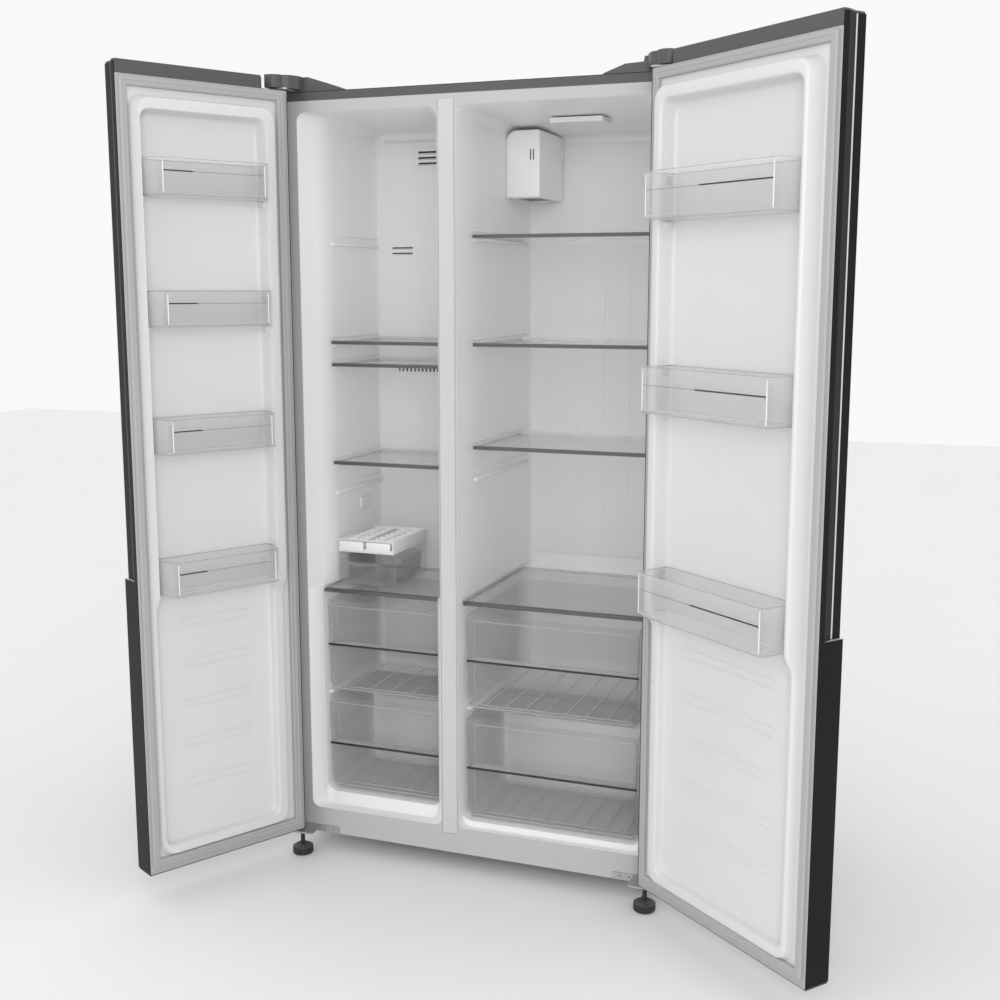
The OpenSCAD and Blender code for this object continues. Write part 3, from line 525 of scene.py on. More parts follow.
def linerLoops(spec, grow):
    bevelUp = 76

    def wall(side, y, z):
        face, up, low = spec["face"][side], spec["up"][side], spec["low"][side]
        xUp = face + (up - face) * bevelled(y / bevelUp)
        xLow = face + (low - face) * bevelled(y / spec["bevelLow"])
        t = ease((z - ledge["bottom"]) / ledge["high"])
        return xLow + (xUp - xLow) * t + (-grow if side == 0 else grow)

    def loop(y, floor, inset, radius):
        ceiling = cabinet["openTop"] - spec["drop"] * max(0, y) / spec["back"] + grow - inset
        floor = floor - grow + inset
        points = []
        for side, order in ((1, 1), (0, -1)):
            sign = -1 if side == 1 else 1
            rows = []
            for i in range(7):
                a = math.radians(90 * i / 6)
                rows.append((radius * (1 - math.sin(a)), floor + radius * (1 - math.cos(a))))
            rows += [(0, z) for z in sideSamples]
            for i in range(7):
                a = math.radians(90 * i / 6)
                rows.append((radius * (1 - math.cos(a)), ceiling - radius * (1 - math.sin(a))))
            if order < 0:
                rows.reverse()
            points += [(wall(side, y, z) + sign * (d + inset), y, z) for d, z in rows]
        return points

    rise, back, low = spec["riser"], spec["back"] + grow, cabinet["lowerBack"] + grow
    base, ground = cabinet["openBottom"], spec["floor"]
    deep = cabinet["lowerTop"]
    rows = [(1.25, base, -3, 20), (1.3, base, 0, 20), (4, base, 0.6, 20), (10, base, 0.8, 21)]
    for t in (0, 0.25, 0.5, 0.75, 1):
        rows.append((rise - 9 + 9 * t, base + (ground - base) * ease(t * 0.9), 0, 22))
    rows += [(rise + 4, ground - 1, 0, 22), (rise + 9, ground, 0, 22), (bevelUp + 4, ground, 0, 22),
             (110, ground, 0, 22), (200, ground, 0, 22), (low - 14, ground, 0, 22),
             (low - 8, ground + 2, 0, 22), (low - 3, ground + 6, 0, 22), (low, ground + 14, 0, 22),
             (low + 0.2, deep - 12, 0, 22), (low + 3, deep - 4, 0, 22), (low + 9, deep, 0, 22),
             (back - 20, deep, 0, 22), (back - 14, deep, 1.2, 20), (back - 8, deep, 4, 18),
             (back - 3, deep, 9.5, 14), (back - 0.6, deep, 15, 10), (back, deep, 22, 6)]
    rows.sort(key=lambda row: row[0])
    return [loop(*row) for row in rows]


railSpans = {
    "freezer": {"wall": cabinet["freezerUp"], "y": (92, 330), "heights": (1197, 1146, 918, 1426, 851),
                "out": 6, "drawerOut": 7},
    "fridge": {"wall": cabinet["fridgeUp"], "y": (92, 440), "heights": (1432, 1197, 968, 901),
               "out": 6, "drawerOut": 12},
}
drawerRail = {"y": (60, 320), "z": 375}


def addRail(shape, wallX, inward, y0, y1, z, out):
    # a moulded step, and a thinner one above it
    for height, thick, reach in ((z - 0.3, 7, out), (z + 16, 3, out * 0.4)):
        low = (min(wallX - inward * 1.2, wallX + inward * reach), y0, height - thick)
        high = (max(wallX - inward * 1.2, wallX + inward * reach), y1, height)
        addBlock(shape, low, high, 1.4, 2.5, 0, 1, 3)


for name, spec in liners.items():
    shape = newShape()
    inner, outer = linerLoops(spec, 0), linerLoops(spec, 1.6)
    addLoops(shape, inner[::-1] + outer, 0, True, True)
    rails = railSpans[name]
    for side, inward in ((0, 1), (1, -1)):
        for z in rails["heights"]:
            addRail(shape, rails["wall"][side], inward, *rails["y"], z, rails["out"])
        addRail(shape, spec["low"][side], inward, *drawerRail["y"], drawerRail["z"], rails["drawerOut"])
    finishPiece(f"{name}Liner", shape, [look["liner"]], "cabinet", replaces=[f"{name}_liner"], sharp=50)
print("liners made")

# "crown" is the rim's top over the door's plate, lower under the drawers' front
doorLiner = {"crown": 28, "crownLow": 9, "slopeZ": (645, 692), "top": 1702, "bottom": 103, "plate": -9,
             "innerTop": 1672, "innerBottom": 129, "edgeZ": (68, 1741)}
doorSamples = [180, 260, 340, 420, 500, 580, 620, 640, 648, 656, 664, 672, 680, 690, 700, 760, 860, 980, 1100,
               1220, 1340, 1460, 1560, 1620]


def rimHeight(z):
    t = ease((z - doorLiner["slopeZ"][0]) / (doorLiner["slopeZ"][1] - doorLiner["slopeZ"][0]))
    return doorLiner["crownLow"] + (doorLiner["crown"] - doorLiner["crownLow"]) * t


def sampledLoop(u0, z0, u1, z1, radius, height):
    # a rounded rectangle with points along its upright sides, lifted to a height that may follow z
    points = []
    for side, sign in ((u1, -1), (u0, 1)):
        rows = []
        for i in range(6):
            a = math.radians(90 * i / 5)
            rows.append((radius * (1 - math.sin(a)), z0 + radius * (1 - math.cos(a))))
        rows += [(0, z) for z in doorSamples]
        for i in range(6):
            a = math.radians(90 * i / 5)
            rows.append((radius * (1 - math.cos(a)), z1 - radius * (1 - math.sin(a))))
        if sign > 0:
            rows.reverse()
        points += [(side + sign * d, height(z), z) for d, z in rows]
    return points


def linerHeight(share):
    # a share of the rim's rise over the plate
    base = doorLiner["plate"]
    return lambda z: base + (rimHeight(z) - base) * share


def makeDoorLiner(side):
    data = doors[side]
    w = data["width"]
    u0, u1 = data["rimHinge"][0], data["rimFree"][1]
    i0, i1 = data["rimHinge"][1], data["rimFree"][0]
    z0, z1 = doorLiner["bottom"], doorLiner["top"]
    k0, k1 = doorLiner["innerBottom"], doorLiner["innerTop"]
    low, high = doorLiner["edgeZ"]
    flange = [sampledLoop(1.4, low, w - 1.4, high, 4, lambda z: -11.2),
              sampledLoop(1.4, low, w - 1.4, high, 4, lambda z: -9.4),
              sampledLoop(1.9, low + 0.5, w - 1.9, high - 0.5, 4, lambda z: -9.0),
              sampledLoop(20, low + 24, w - 15, high - 14, 4, lambda z: -9.0)]
    loops = [flange[-1]]
    # up the outer face of the rim
    lean = 0.8 if side == "left" else 0.9
    for a, share in ((-3, 0), (-0.8, 0.02), (0.6, 0.08), (2.2, 0.25), (4.6, 0.55), (6.4, 0.8), (7.6, 0.92),
                     (9.4, 0.98), (12, 1)):
        loops.append(sampledLoop(u0 + a, z0 + a * 0.8, u1 - a * lean, z1 - a * 0.8, 26, linerHeight(share)))
    if side == "left":
        loops[-1] = sampledLoop(u0 + 10, z0 + 9, u1 - 6.5, z1 - 9, 26, linerHeight(1))
        loops[-2] = sampledLoop(u0 + 8.8, z0 + 7.5, u1 - 5.6, z1 - 7.5, 26, linerHeight(0.985))
    # over the crown and down the inner face into the pocket
    start, lean = (-1.9, 0.8) if side == "left" else (-5, 1)
    for b, share in ((start, 1), (-2.2, 0.985), (-0.6, 0.93), (0.6, 0.8), (1.8, 0.5), (3, 0.22), (4.6, 0.09),
                     (8, 0.02), (13, 0)):
        loops.append(sampledLoop(i0 + b, k0 + b, i1 - b * lean, k1 - b, 20, linerHeight(share)))
    shape = newShape()
    addLoops(shape, flange, 1, True, False)
    addLoops(shape, loops, 0, False, True)
    return shape


ribs = {"first": 248, "pitch": 89, "pairGap": 18, "width": 4.0, "height": 1.6, "count": 5, "ends": 58,
        "depth": -9.0}


def treeInputs(tree, *numbers):
    for label, kind, value in numbers:
        socket = tree.interface.new_socket(label, in_out="INPUT", socket_type=kind)
        socket.default_value = value
    tree.interface.new_socket("Material", in_out="INPUT", socket_type="NodeSocketMaterial")
    tree.interface.new_socket("Geometry", in_out="OUTPUT", socket_type="NodeSocketGeometry")
    return tree.nodes.new("NodeGroupInput"), tree.nodes.new("NodeGroupOutput")


# the pairs of low ribs on a door liner, made by a Geometry Nodes tree
def ribTree():
    tree = bpy.data.node_groups.new("linerRibs", "GeometryNodeTree")
    gin, gout = treeInputs(tree, ("Count", "NodeSocketInt", 5), ("Pitch", "NodeSocketFloat", 0.089),
                           ("Length", "NodeSocketFloat", 0.16), ("Width", "NodeSocketFloat", 0.004),
                           ("Height", "NodeSocketFloat", 0.0016))
    new = tree.nodes.new
    offset = new("ShaderNodeCombineXYZ")
    line = new("GeometryNodeMeshLine")
    rail = new("GeometryNodeCurvePrimitiveLine")
    start, end = new("ShaderNodeCombineXYZ"), new("ShaderNodeCombineXYZ")
    half = mathNode(tree, "MULTIPLY", 0, 0.5)
    minus = mathNode(tree, "MULTIPLY", 0, -0.5)
    profile = new("GeometryNodeCurvePrimitiveCircle")
    profile.inputs["Resolution"].default_value = 12
    radius = mathNode(tree, "MULTIPLY", 0, 0.5)
    sweep = new("GeometryNodeCurveToMesh")
    sweep.inputs["Fill Caps"].default_value = True
    flat = new("GeometryNodeTransform")
    squash = mathNode(tree, "DIVIDE")
    flatScale = new("ShaderNodeCombineXYZ")
    flatScale.inputs["X"].default_value = 1
    flatScale.inputs["Z"].default_value = 1
    place = new("GeometryNodeInstanceOnPoints")
    realize, setMaterial = new("GeometryNodeRealizeInstances"), new("GeometryNodeSetMaterial")
    connect(tree, (gin.outputs["Pitch"], offset.inputs["Z"]), (offset.outputs[0], line.inputs["Offset"]),
            (gin.outputs["Count"], line.inputs["Count"]), (gin.outputs["Length"], half.inputs[0]),
            (gin.outputs["Length"], minus.inputs[0]), (minus.outputs[0], start.inputs["X"]),
            (half.outputs[0], end.inputs["X"]), (start.outputs[0], rail.inputs["Start"]),
            (end.outputs[0], rail.inputs["End"]), (gin.outputs["Width"], radius.inputs[0]),
            (radius.outputs[0], profile.inputs["Radius"]), (rail.outputs["Curve"], sweep.inputs["Curve"]),
            (profile.outputs["Curve"], sweep.inputs["Profile Curve"]),
            (sweep.outputs["Mesh"], flat.inputs["Geometry"]),
            (gin.outputs["Height"], squash.inputs[0]), (radius.outputs[0], squash.inputs[1]),
            (squash.outputs[0], flatScale.inputs["Y"]), (flatScale.outputs[0], flat.inputs["Scale"]),
            (line.outputs["Mesh"], place.inputs["Points"]),
            (flat.outputs["Geometry"], place.inputs["Instance"]),
            (place.outputs["Instances"], realize.inputs["Geometry"]),
            (realize.outputs["Geometry"], setMaterial.inputs["Geometry"]),
            (gin.outputs["Material"], setMaterial.inputs["Material"]),
            (setMaterial.outputs["Geometry"], gout.inputs["Geometry"]))
    return tree


# runs a tree with its inputs set, and gives the plain mesh in millimetres about the tree's own origin
def bakeTree(tree, **values):
    holder = bpy.data.objects.new("treeHolder", bpy.data.meshes.new("treeHolder"))
    bpy.context.scene.collection.objects.link(holder)
    modifier = holder.modifiers.new("tree", "NODES")
    modifier.node_group = tree
    ids = {item.name: item.identifier for item in tree.interface.items_tree
           if item.item_type == "SOCKET" and item.in_out == "INPUT"}
    for label, value in values.items():
        modifier[ids[label.replace("_", " ")]] = value
    holder.update_tag()
    bpy.context.view_layer.update()
    mesh = bpy.data.meshes.new_from_object(holder.evaluated_get(bpy.context.evaluated_depsgraph_get()))
    points = [tuple(c * 1000 for c in vertex.co) for vertex in mesh.vertices]
    faces = [list(polygon.vertices) for polygon in mesh.polygons]
    bpy.data.objects.remove(holder)
    bpy.data.meshes.remove(mesh)
    return points, faces


ribMaker = ribTree()
for side, data in doors.items():
    shape = makeDoorLiner(side)
    inner0, inner1 = data["rimHinge"][1], data["rimFree"][0]
    points, faces = bakeTree(ribMaker, Count=ribs["count"], Pitch=ribs["pitch"] * mm,
                             Length=(inner1 - inner0 - 2 * ribs["ends"]) * mm, Width=ribs["width"] * mm,
                             Height=ribs["height"] * mm, Material=look["doorLiner"])
    centre = (inner0 + inner1) / 2
    for first in (ribs["first"], ribs["first"] + ribs["pairGap"]):
        addMesh(shape, [(x + centre, y + ribs["depth"], z + first) for x, y, z in points], faces)
    finishPiece(f"{side}DoorLiner", shape, [look["doorLiner"], look["flange"]], f"{side}_door", data["place"],
                [f"{side}_door_liner"], sharp=60)

gasket = {"outerHinge": 10.5, "outerFree": 6, "freeShare": 0.84, "bottom": 82.5, "top": 1737}
# the vinyl's section: distance in from its outer edge, and depth
gasketSection = [(0.6, -8.9), (0.4, -7.2), (2.2, -6.4), (1.0, -5.4), (0.6, -3.6), (1.2, -1.8), (3.0, -0.7),
                 (6.0, -0.45), (8.4, -0.5), (9.2, -1.3), (10.2, -1.3), (11.0, -0.5), (14.0, -0.45),
                 (17.2, -0.7), (18.8, -1.9), (19.2, -3.8), (17.4, -5.2), (19.0, -6.6), (19.6, -8.9)]


def makeGasket(side):
    w = doors[side]["width"]
    shape = newShape()
    loops = []
    for inset, depth in gasketSection:
        ring = roundedLoop(gasket["outerHinge"] + inset, gasket["bottom"] + inset,
                           w - gasket["outerFree"] - inset * gasket["freeShare"],
                           gasket["top"] - inset, max(0.6, 5 - inset * 0.2), 3)
        loops.append([(u, depth, z) for u, z in ring])
    addLoops(shape, loops, joined=True)
    return shape


# seams between a door's steel and its plastic, light strips along the grip's edges as painted highlight, and
# a boss clear of the hinge cover
doorSeams = {"gripZ": 716.2, "top": 1763, "boss": [(50, -65), (61.8, -65), (61.8, -12), (60.6, -12),
                                                   (60.6, -21), (50.4, -41)]}


def makeDoorSeams(side):
    w, grip, top = doors[side]["width"], doorSeams["gripZ"], doorSeams["top"]
    shape = newShape()
    for u0, u1 in ((0.15, 1.2), (w - 1.2, w - 0.15)):
        addBlock(shape, (u0, -11.5, 70), (u1, -9.15, 1740), 0.3, 0.3, 0)
    # the grey ledge at the grip's foot and the light strips up its edges are painted highlight on the black
    # steel
    addBlock(shape, (w - 8.6, -65.6, grip - 1.8), (w - 0.3, -9.6, grip), 0.5, 0.8, 1)
    if side == "right":
        addBlock(shape, (w - 8.3, -46.5, grip + 0.8), (w - 7.2, -43.2, top), 0.4, 0.5, 2)
    addPrism(shape, doorSeams["boss"], 2, 1743.2, top, 3)
    addBlock(shape, (w - 1.3, -20.8, grip + 0.8), (w - 0.1, -18.6, top), 0.4, 0.5, 2)
    return shape


for side, data in doors.items():
    finishPiece(f"{side}Gasket", makeGasket(side), [look["gasket"]], f"{side}_door", data["place"],
                [f"{side}_gasket"], sharp=40)
    finishPiece(f"{side}DoorSeams", makeDoorSeams(side),
                [look["trim"], look["face"], look["gripEdge"], look["cap"]], f"{side}_door", data["place"])
print("door liners and gaskets made")

bins = {
    "left": {"bottoms": (1504, 1243, 984, 687), "height": 75, "front": 64, "taper": 14, "rail": 48,
             "paintedShadeFrom": 0.72, "gaps": (4.5, 3.5)},
    "right": {"bottoms": (1448, 1086, 686), "height": 90, "front": 72, "taper": 1.5, "rail": 54,
              "paintedShadeFrom": 0.45, "gaps": (4.5, 4.5)},
}


def binPlan(u0, u1, back, front, taper, inset, radius):
    # plan of a bin, back corners square and front corners rounded
    raw = [(u0 + inset, back + inset), (u1 - inset, back + inset), (u1 - inset, 22),
           (u1 - taper - inset, front - inset), (u0 + taper + inset, front - inset), (u0 + inset, 22)]
    radii = [3, 3, 12, radius, radius, 12]
    loop = []
    for k, (corner, r) in enumerate(zip(raw, radii)):
        here = Vector(corner)
        before, after = Vector(raw[k - 1]), Vector(raw[(k + 1) % len(raw)])
        toBefore, toAfter = (before - here).normalized(), (after - here).normalized()
        for i in range(5):
            t = i / 4
            a, b = here + toBefore * r, here + toAfter * r
            loop.append(tuple((1 - t) ** 2 * a + 2 * t * (1 - t) * here + t * t * b))
    return loop


def makeBin(side, z):
    spec, data = bins[side], doors[side]
    u0, u1 = data["rimHinge"][1] + spec["gaps"][0], data["rimFree"][0] - spec["gaps"][1]
    back, front, h, taper = -7.0, spec["front"], spec["height"], spec["taper"]
    shape = newShape()

    def ring(height, grow, radius):
        return [(u, v, z + height) for u, v in binPlan(u0, u1, back, front, taper, -grow, radius)]

    wall = 2.2
    # height, growth past the plan and corner radius of each ring
    outside = [(0, -5.5, 5), (0.8, -3.6, 6), (2.4, -2.6, 7), (5, -2.0, 8), (h * 0.5, -1.0, 8),
               (h - 6, -0.2, 8), (h - 4.5, 0.0, 8), (h - 1, 0.0, 8), (h, -0.6, 8)]
    inside = [(h, -1.4, 7.4), (h - 0.8, -wall, 7), (h * 0.5, -wall - 0.8, 7), (6, -wall - 2.2, 6),
              (3.6, -wall - 3.6, 5), (wall, -wall - 6, 4)]
    addLoops(shape, [ring(*row) for row in outside + inside])
    # the rail line across the front, clear near the hinge and dark towards the free end: a painted shade
    # line, black at the free end
    railZ = z + spec["rail"]
    f0, f1 = u0 + taper + 10, u1 - taper - 10
    middle = f0 + (f1 - f0) * spec["paintedShadeFrom"]
    addBlock(shape, (f0, front - 1.7, railZ + 0.4), (middle, front - 0.25, railZ + 1.7), 0.3, 0.4, 4)
    addBlock(shape, (middle, front - 1.7, railZ), (f1, front - 0.25, railZ + 2.6), 0.3, 0.4, 2)
    # grey rims round the top and near the floor: painted shade along the clear edges
    for height in (h - 0.6, 3.2):
        rim = [(u, v, z + height) for u, v in binPlan(u0, u1, back, front, taper, 0.1, 8)]
        rimIn = [(u, v, z + height) for u, v in binPlan(u0, u1, back, front, taper, 1.3, 7.5)]
        low = [(u, v, c - 1.1) for u, v, c in rim]
        lowIn = [(u, v, c - 1.1) for u, v, c in rimIn]
        addLoops(shape, [rim, rimIn, lowIn, low], 4, joined=True)
    # upright corner ribs, white as painted highlight on the clear corners, and a stepped skirt, moulded in
    for u in (u0 + taper + 7, u1 - taper - 9.2):
        addBlock(shape, (u, front - 2.0, z + 7), (u + 2.2, front - 0.3, z + h - 6), 0.5, 0.8, 3)
    skirt0, skirt1 = u0 + taper + 3, u1 - taper - 3
    addBlock(shape, (skirt0, front - 3.4, z + 8.5), (skirt1, front - 1.4, z + 9.7), 0.3, 0.5, 1)
    for u, sign in ((u0, 1), (u1, -1)):
        low = (min(u + sign * 0.3, u + sign * 2.2), 0, z + h - 22)
        high = (max(u + sign * 0.3, u + sign * 2.2), 16, z + h - 6)
        addBlock(shape, low, high, 0.5, 0.8, 1)
    # floor ribs
    for k in range(5):
        u = u0 + 30 + (u1 - u0 - 60) * k / 4
        addBlock(shape, (u - 0.8, back + 10, z + 2.0), (u + 0.8, front - 14, z + 3.4), 0.3, 0.4, 1)
    return shape


for side, data in doors.items():
    for number, z in enumerate(bins[side]["bottoms"], 1):
        finishPiece(f"{side}Bin{number}", makeBin(side, z),
                    [look["clear"], look["clearEdge"], look["handle"], look["white"], look["line"]],
                    f"{side}_bin_{number}_body", data["place"], [f"{side}_bin_{number}"], sharp=38)
    # the lugs each bin hangs on
    shape = newShape()
    for z in bins[side]["bottoms"]:
        for u in (data["rimHinge"][1] - 1, data["rimFree"][0] - 6):
            addBlock(shape, (u, -9.5, z - 12), (u + 7, 20, z - 0.4), 1.5, 2.5)
    finishPiece(f"{side}BinLugs", shape, [look["doorLiner"]], f"{side}_door", data["place"], sharp=50)
print("bins made")

shelves = {
    "freezer": {"x": (-374, -105.5), "y": (80, 334), "z": {"top": 1197, "middle": 1146, "bottom": 918}},
    "fridge": {"x": (-23.5, 374), "y": (80, 408), "z": {"top": 1432, "middle": 1197, "bottom": 968}},
}


def makeShelf(x0, x1, y0, y1, z):
    # glass sheet, front trim, rear lip and side beads
    glass = 4.0
    shape = newShape()
    addBlock(shape, (x0 + 0.8, y0 + 4, z), (x1 - 0.8, y1 - 4, z + glass), 0.5, 3, 0, 2, 3)
    profile = [(y0 + 0.6, z - 1.4), (y0, z + 0.4), (y0, z + 3.6), (y0 + 0.8, z + 5.4),
               (y0 + 2.4, z + glass + 2), (y0 + 12.5, z + glass + 2), (y0 + 13.5, z + glass + 0.4),
               (y0 + 7, z + glass + 0.3), (y0 + 6, z - 0.2), (y0 + 5.5, z - 2)]
    addPrism(shape, profile, 0, x0 + 0.1, x1 - 0.1, 1)
    addBlock(shape, (x0 + 1, y1 - 7.5, z + 0.2), (x1 - 1, y1 - 0.2, z + glass + 4), 1, 1.5, 2)
    addBlock(shape, (x0 + 0.2, y0 + 13, z + 0.1), (x0 + 1.9, y1 - 8, z + glass + 0.6), 0.4, 0.5, 2)
    addBlock(shape, (x1 - 1.9, y0 + 13, z + 0.1), (x1 - 0.2, y1 - 8, z + glass + 0.6), 0.4, 0.5, 2)
    return shape


for room, spec in shelves.items():
    for level, z in spec["z"].items():
        finishPiece(f"{room}Shelf{level.capitalize()}", makeShelf(*spec["x"], *spec["y"], z),
                    [look["glass"], look["trim"], look["clearEdge"]], f"{room}_shelf_{level}_body",
                    replaces=[f"{room}_shelf_{level}"])

coverShelves = {"z": 620, "freezer": (-384.5, -96, 40, 333), "fridge": (-29, 384.5, 28, 428)}
shape = newShape()
for room in ("freezer", "fridge"):
    x0, x1, y0, y1 = coverShelves[room]
    z = coverShelves["z"]
    addBlock(shape, (x0 + 1, y0 + 10, z + 4.6), (x1 - 1, y1 - 3, z + 8.8), 0.5, 4, 0, 2, 3)
    addBlock(shape, (x0, y0, z), (x1, y0 + 12, z + 9), 1.8, 2.2, 1, 0, 3)
    # carriers under the glass, then the border printed on it
    for low, high in (((x0 + 1, y0 + 12.2), (x0 + 5, y1)), ((x1 - 5, y0 + 12.2), (x1 - 1, y1)),
                      ((x0 + 5.2, y1 - 5), (x1 - 5.2, y1))):
        addBlock(shape, (*low, z + 0.2), (*high, z + 4.5), 0.8, 1, 2)
    for low, high in (((x0 + 2, y0 + 14), (x0 + 4, y1 - 6)), ((x1 - 4, y0 + 14), (x1 - 2, y1 - 6)),
                      ((x0 + 4.2, y1 - 8), (x1 - 4.2, y1 - 6))):
        addBlock(shape, (*low, z + 8.7), (*high, z + 9.0), 0.1, 0.2, 1)
finishPiece("coverShelves", shape, [look["glass"], look["trim"], look["clearEdge"]], "cabinet",
            replaces=["cover_shelves"])
print("shelves made")

drawers = {
    "freezer_drawer_upper": {"x": (-383.5, -97), "y": (52, 331), "z": (375, 598), "bar": 491},
    "freezer_drawer_lower": {"x": (-383.5, -97), "y": (52, 287), "z": (136, 362), "bar": 247},
    "fridge_drawer_upper": {"x": (-24.5, 378.5), "y": (34, 423), "z": (375, 598), "bar": 491},
    "fridge_drawer_lower": {"x": (-24.5, 378.5), "y": (34, 287), "z": (118, 356), "bar": 238},
}


def makeDrawer(spec):
    (x0, x1), (y0, y1), (z0, z1), bar = spec["x"], spec["y"], spec["z"], spec["bar"]
    shape = newShape()

    def ring(z, inset, radius):
        return [(x, y, z) for x, y in roundedLoop(x0 + inset, y0 + inset, x1 - inset, y1 - inset, radius, 4)]

    h = z1 - z0
    draft = 5.0
    # height, inset and corner radius of each ring
    outside = [(z0, draft + 6, 6), (z0 + 1.2, draft + 2.4, 8), (z0 + 4, draft, 9),
               (z0 + h * 0.5, draft * 0.5, 8), (z1 - 9, 0.6, 8), (z1 - 8, 0, 8), (z1 - 0.8, 0, 8),
               (z1, 0.7, 7.5)]
    inside = [(z1, 2.2, 7), (z1 - 0.8, 3, 6.5), (z0 + h * 0.5, 3 + draft * 0.5, 6), (z0 + 8, draft + 3, 6),
              (z0 + 4.5, draft + 5, 5), (z0 + 3, draft + 9, 4)]
    addLoops(shape, [ring(*row) for row in outside + inside])
    # the grip: a dark lip across the front, with a clear ledge turning in behind it
    lip = y0 + 3.4
    addPrism(shape, [(y0 - 1.9, bar - 1.4), (y0 - 1.2, bar - 2), (lip, bar - 1.6), (lip, bar + 1.6),
                     (y0 - 1.2, bar + 2), (y0 - 1.9, bar + 1.2)], 0, x0 + 1.5, x1 - 1.5, 1)
    addBlock(shape, (x0 + 7, lip + 0.2, bar - 0.9), (x1 - 7, y0 + 34, bar + 0.9), 0.4, 6, 2, 2, 3)
    # dark corner edges as painted shade, front frame lines, floor ribs and side stiffeners
    for sx, x in ((1, x0), (-1, x1)):
        addRod(shape, (x + sx * 2.0, y0 + 1.8, z1 - 13), (x + sx * 6.4, y0 + 6.2, z0 + 13), 1.1, 10, 3)
    addBlock(shape, (x0 + 9, y0 + 4.6, z0 + 5.6), (x1 - 9, y0 + 5.8, z0 + 6.8), 0.3, 0.5, 3)
    addBlock(shape, (x0 + 7, y0 + 0.6, z0 + 9), (x1 - 7, y0 + 2.4, z0 + 10.4), 0.3, 0.5, 2)
    addBlock(shape, (x0 + 6, y0 + 0.4, z1 - 14), (x1 - 6, y0 + 1.8, z1 - 12.8), 0.3, 0.5, 2)
    count = int((x1 - x0) / 48)
    for k in range(count):
        x = x0 + 34 + (x1 - x0 - 68) * k / (count - 1)
        addBlock(shape, (x - 1.2, y0 + 42, z0 + 2.8), (x + 1.2, y1 - 40, z0 + 5.2), 0.6, 1.1, 2, 2, 3)
    for x in (x0 + 7.4, x1 - 9.0):
        addBlock(shape, (x, y0 + 30, z0 + 20), (x + 1.6, y0 + 32, z1 - 20), 0.4, 0.6, 2)
    for y in (y0 + 36, y1 - 36):
        addBlock(shape, (x0 + 20, y - 1, z0 + 2.8), (x1 - 20, y + 1, z0 + 5.0), 0.5, 0.8, 2)
    return shape


for name, spec in drawers.items():
    words = name.split("_")
    finishPiece(words[0] + "Drawer" + words[2].capitalize(), makeDrawer(spec),
                [look["drawer"], look["handle"], look["clearEdge"], look["line"]], name + "_body",
                replaces=[name])
print("drawers made")

ice = {"x": -372.5, "wide": 143, "y": 82, "deep": 200, "z": 708, "high": 31, "axisZ": 724, "pitch": 69,
       "wall": 2.6, "gap": 0.1, "standWall": 2, "standFoot": 629.4}
iceX = (ice["x"], ice["x"] + ice["wide"])
iceY = (ice["y"], ice["y"] + ice["deep"])
iceZ = (ice["z"], ice["z"] + ice["high"])


def makeIceFrame():
    (x0, x1), (y0, y1), (z0, z1) = iceX, iceY, iceZ
    wall, stand, foot = ice["wall"], ice["standWall"], ice["standFoot"]
    in0, in1, under = x0 + wall + ice["gap"], x1 - wall - ice["gap"], z0 - ice["gap"]
    shape = newShape()
    for low, high in (((x0, y0 + 9, z0), (x0 + wall, y1, z1)), ((x1 - wall, y0 + 9, z0), (x1, y1, z1)),
                      ((in0, y1 - 4, z0), (in1, y1, z1)), ((in0, y0 + 9, z0), (in1, y0 + 13, z0 + 9)),
                      ((in0, y0 + 9, z1 - 3), (in1, y0 + 13, z1))):
        addBlock(shape, low, high, 0.7, 0.8)
    # the clear stand: side sheets, front rails and front posts
    for low, high in (((y0 + 60, foot), (y1, under)), ((y0 + 14, z0 - 8), (y0 + 59.9, under)),
                      ((y0 + 14, foot), (y0 + 24, z0 - 8.1))):
        for x in (x0, x1 - stand):
            addBlock(shape, (x, *low), (x + stand, *high), 0.7, 0.8, 1)
    return shape


finishPiece("iceFrame", makeIceFrame(), [look["white"], look["drawer"]], "cabinet", replaces=["ice_frame"])

iceTray = {"halfWide": 29, "halfHigh": 12, "rows": 6, "wall": 1.8,
           # inset, height over the axis and corner radius, down the inside of a cup and up its outside
           "cup": ((0, 11.8, 1.0), (0.9, 12, 1.6), (1.5, 11.4, 3), (3.2, -2, 4.5), (4.5, -7, 5),
                   (7.5, -9.4, 4), (10, -10, 1.5)),
           "under": ((8, -12, 2), (5, -11.2, 4), (2.6, -8, 4.5), (1.2, -2, 4), (0, 10.2, 1))}


def cupLoops(a0, b0, a1, b1, rows, lean):
    loops = []
    for inset, height, radius in rows:
        d = inset * lean
        ring = roundedLoop(a0 + d, b0 + d, a1 - d, b1 - d, radius, 3)
        loops.append([(a, b, ice["axisZ"] + height) for a, b in ring])
    return loops[::-1]


